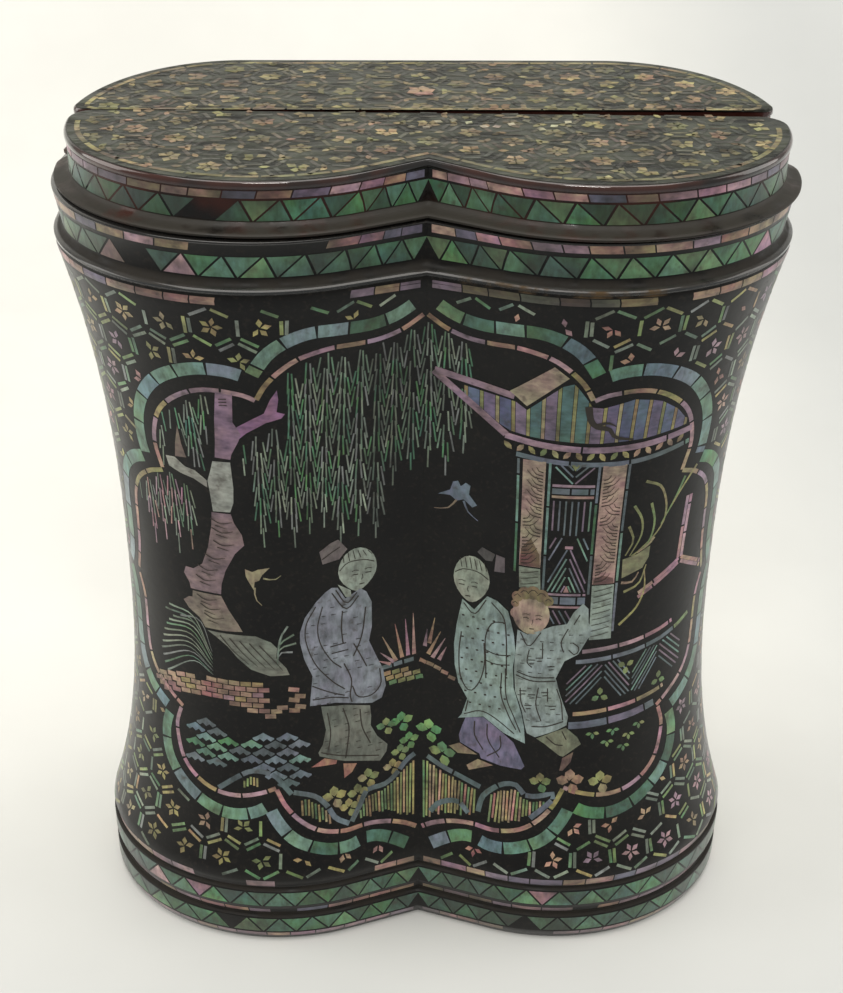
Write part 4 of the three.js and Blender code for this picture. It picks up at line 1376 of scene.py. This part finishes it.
people.cut(((11, 61.4), (15.2, 62.6), (20, 59.3), (23, 57.2), (25, 53.5), (26.3, 51), (25.5, 50),
            (20, 50), (15.2, 50.8), (14.8, 52), (10, 54), (9.6, 56), (10.3, 59)), VIOLET)
for outline in (
    ((7.3, 52.3), (9.8, 53.8), (14.3, 51.6), (9.5, 50.8)), ((11.8, 48), (14.5, 50.4), (18.3, 49.6), (12.5, 46.8)),
):
    people.cut(outline, tone_of("a08a66"))
for path in (
    ((9.6, 94.4), (12.1, 91.8), (14.6, 96.4)), ((15.8, 96), (18.6, 92.4), (19.4, 87), (19.7, 81), (19.9, 76)),
    ((14.5, 84), (14.8, 78), (13.8, 72.5), (11.6, 69.4), (9.4, 73.2), (8.9, 80), (9.3, 86)),
    ((18.7, 91), (16.2, 90.2), (14.8, 86), (15, 80), (15.3, 74)), ((14.8, 82.2), (17.5, 81.4), (20.7, 82)),
    ((14.9, 79.2), (17.5, 78.6), (20.6, 79.2)), ((19.6, 78), (20.2, 70), (22.6, 64.6), (24.6, 60.4)),
    ((18.8, 76.5), (19, 70), (21, 65), (23.4, 61)), ((11.4, 66.5), (10.9, 63.2)),
    ((10.6, 62.4), (15.4, 64.2), (23, 59.8)), ((13.2, 61), (13.4, 57), (15.6, 53.4)),
    ((16.2, 61), (16.6, 56.6), (19.6, 52.2)), ((19.4, 58.4), (19.6, 54.8), (16.6, 51.8)),
):
    line(*path)
for s in np.arange(9.6, 21, 2.3):
    for k, z in enumerate(np.arange(66, 92, 3.1)):
        at = s + 1.1 * (k % 2)
        line((at - 0.28, z), (at + 0.28, z + 0.1), width=0.42)

people.cut(oval(25.5, 94.6, 4.9, 5.6, jaw=0.12), tone_of("c0a088"))
people.cut(oval(20.9, 94.4, 0.9, 1.3, 10), tone_of("b99a7c"))
for s, z, r in (
    (21.7, 99.2, 1.5), (23.6, 100.4, 1.8), (25.8, 100.8, 1.9), (28, 100.2, 1.8), (29.8, 98.9, 1.4), (21.2, 97.2, 1.1),
):
    people_over.cut(oval(s, z, r, r, 12), tone_of("94794e"))
    line((s - 0.6 * r, z), (s, z + 0.5 * r), (s + 0.6 * r, z), width=0.2)
face(25.6, 93.4, 4.6, 5.6, 0.3)
people.cut(((22.2, 89.8), (25, 88.8), (28.5, 90.6), (31.5, 92), (35, 92.7), (36.5, 96), (38.8, 98.5),
            (40.3, 97), (40.6, 93), (42, 90.5), (40.5, 88), (38.5, 84), (35, 82), (33, 77), (34.5, 72),
            (36.8, 66), (36.5, 63.5), (34, 62), (28.5, 59.6), (26.3, 60.5), (25.8, 62), (24.5, 67),
            (22.5, 72), (21.8, 79), (22, 84)), tone_of("a3b5b0"))
people.cut(((28.8, 59.3), (33, 61.4), (36.4, 62.8), (39.5, 60), (40.5, 58), (36, 54.5), (35, 54.8),
            (31, 58)), tone_of("8b9272"))
people.cut(((35.8, 54.1), (38.6, 55.8), (38, 53), (36, 50.5), (35.2, 50.6)), tone_of("8b7058"))
for path in (
    ((23, 89.2), (25.4, 85.6), (28.4, 89.9)), ((35.4, 91.4), (33.8, 87.5), (34.6, 84.6)),
    ((36.8, 87.4), (38.6, 85.8), (37.6, 83.9), (35.9, 85.3)),
    ((22.6, 77.8), (27, 76.8), (32.6, 77.2)), ((22.4, 76.8), (27, 75.7), (33, 76.2)), ((33.4, 74),
    (34.8, 70), (35.4, 65)),
    ((25.6, 84.6), (25.2, 81), (26.6, 79.6)), ((29, 87), (29.2, 82.4)), ((38.2, 95.4), (36.8, 92.6)),
    ((23.8, 73.2), (24.2, 69.4), (25.6, 66.4)), ((28.6, 74), (28.2, 69), (29.8, 64.4)), ((31, 74), (31.2, 70.2)),
    ((27.4, 62.6), (31.2, 63), (35.6, 64.6)), ((31.4, 60), (33.8, 58), (35.8, 57.8)), ((35.4, 61.8), (36.6, 59.4)),
):
    line(*path)
for s, z in (
    (24.6, 72.4), (27, 71.6), (30.4, 72.6), (26.2, 68.4), (32.6, 68.8), (28.4, 82.4), (31.6, 80.2), (26.4, 81.6),
):
    line((s - 1.0, z), (s + 0.9, z + 0.2), width=0.24)
    line((s - 0.6, z - 0.9), (s + 0.7, z - 0.7), width=0.24)

# Rows of short dashes stand for the woven marks of two robes and a skirt.
for low_s, high_s, low_z, high_z, step in (
    (-28, -9, 68.5, 98, 2.1), (-23.5, -9, 52, 66, 1.9), (23, 40, 62, 91, 2.3),
):
    centre = ((low_s + high_s) / 2, (low_z + high_z) / 2)
    outline = next(shape for shape, _ in people.shapes if encloses(shape, centre))
    for z in np.arange(low_z, high_z, step):
        for s in np.arange(low_s + chance.uniform(0, 1), high_s, 2.6):
            if chance.random() < 0.55 and encloses(outline, (s - 0.9, z)) and encloses(outline, (s + 0.9, z)):
                line((s - 0.55, z), (s, z + chance.uniform(-0.3, 0.4)), (s + 0.55, z), width=0.2, taper=0.1)

for label, drawing, material, slot, lift in (
    ("tree", tree_cut, pink_shell, "pink_shell", SHEET_LIFT), ("grass", grass, green_shell, "green_shell", SHEET_LIFT),
    ("rocks", rocks, green_shell, "green_shell", SECOND_LIFT), ("shrub", shrub, pink_shell, "pink_shell", SHEET_LIFT),
    ("birds", birds, green_shell, "green_shell", SHEET_LIFT), ("house", house, pink_shell, "pink_shell", SHEET_LIFT),
    ("house_edges", house_over, pink_shell, "pink_shell", SECOND_LIFT),
    ("reeds", reeds, pink_shell, "pink_shell", SHEET_LIFT),
    ("people", people, green_shell, "green_shell", SECOND_LIFT),
    ("people_front", people_over, green_shell, "green_shell", ENGRAVED_LIFT),
    ("engraving", engraved, engraving, "green_shell", ENGRAVED_LIFT + 0.04),
):
    drawing.lay(label, body_wall, material, slot, lift)


# The floor: a pale sheet that runs up behind the box as a backdrop, plain but for shade painted on it.
FLOOR_HALF, SWEEP_START, SWEEP_RADIUS = 900, 330, 260
sweep = [(-700, 0), (SWEEP_START, 0)]
sweep += [
    (SWEEP_START + SWEEP_RADIUS * math.sin(a), SWEEP_RADIUS * (1 - math.cos(a)))
    for a in np.linspace(0, math.pi / 2, 24)[1:]
]
sweep.append((SWEEP_START + SWEEP_RADIUS, 1200))
mesh = bpy.data.meshes.new("floor")
mesh.from_pydata(
    [(side * FLOOR_HALF * MM, y * MM, z * MM) for y, z in sweep for side in (-1, 1)], [],
    [(2 * i, 2 * i + 1, 2 * i + 3, 2 * i + 2) for i in range(len(sweep) - 1)],
)
mesh.shade_smooth()
floor = show("floor", mesh)
floor_paint, tree, shader = new_material("pale_floor", Roughness=0.5)
x, y, z = object_axes(tree)
colour = mix(noise(tree, 9, 4).ramp(0.3, 0.7), paint("d6d6d2"), paint("dcdcd8"))
# Painted shade: the floor turns a darker blue-grey towards the front, and on the right it stays half shaded all the way
# back.
colour = mix(y.ramp(-230, 60) * (1 - x.ramp(60, 200) * 0.5), paint("a0a5a9"), colour)
drive(shader, Base_Color=colour)
mesh.materials.append(floor_paint)


# The light: soft lamps at both sides and above, which the lacquer mirrors at its edges.
# A narrow one in front draws thin lights along the rims.
def lamp(name, place, aim, size, watts, colour="fffcf6"):
    light = bpy.data.lights.new(name, "AREA")
    light.shape, light.size, light.size_y, light.energy = "RECTANGLE", *size, watts
    light.color = paint(colour)[:3]
    lamp_object = bpy.data.objects.new(name, light)
    place = Vector(place)
    turn = (Vector(aim) - place).to_track_quat("-Z", "Y")
    lamp_object.matrix_world = Matrix.Translation(place) @ turn.to_matrix().to_4x4()
    bpy.context.scene.collection.objects.link(lamp_object)


lamp("lamp_above", (0.0, -0.1, 1.1), (0, 0, 0.1), (1.0, 0.8), 8)
lamp("lamp_left", (-0.9, 0.0, 0.5), (0, 0, 0.1), (0.6, 0.9), 5)
lamp("lamp_right", (0.9, 0.05, 0.5), (0, 0, 0.1), (0.6, 0.9), 4)
lamp("lamp_front", (-0.02, -0.62, 1.0), (0, 0, 0.16), (0.3, 0.07), 3.5)
world = bpy.data.worlds.new("studio")
world.use_nodes = True
world.node_tree.nodes["Background"].inputs["Color"].default_value = paint("fcfaf5")
world.node_tree.nodes["Background"].inputs["Strength"].default_value = 0.4
bpy.context.scene.world = world
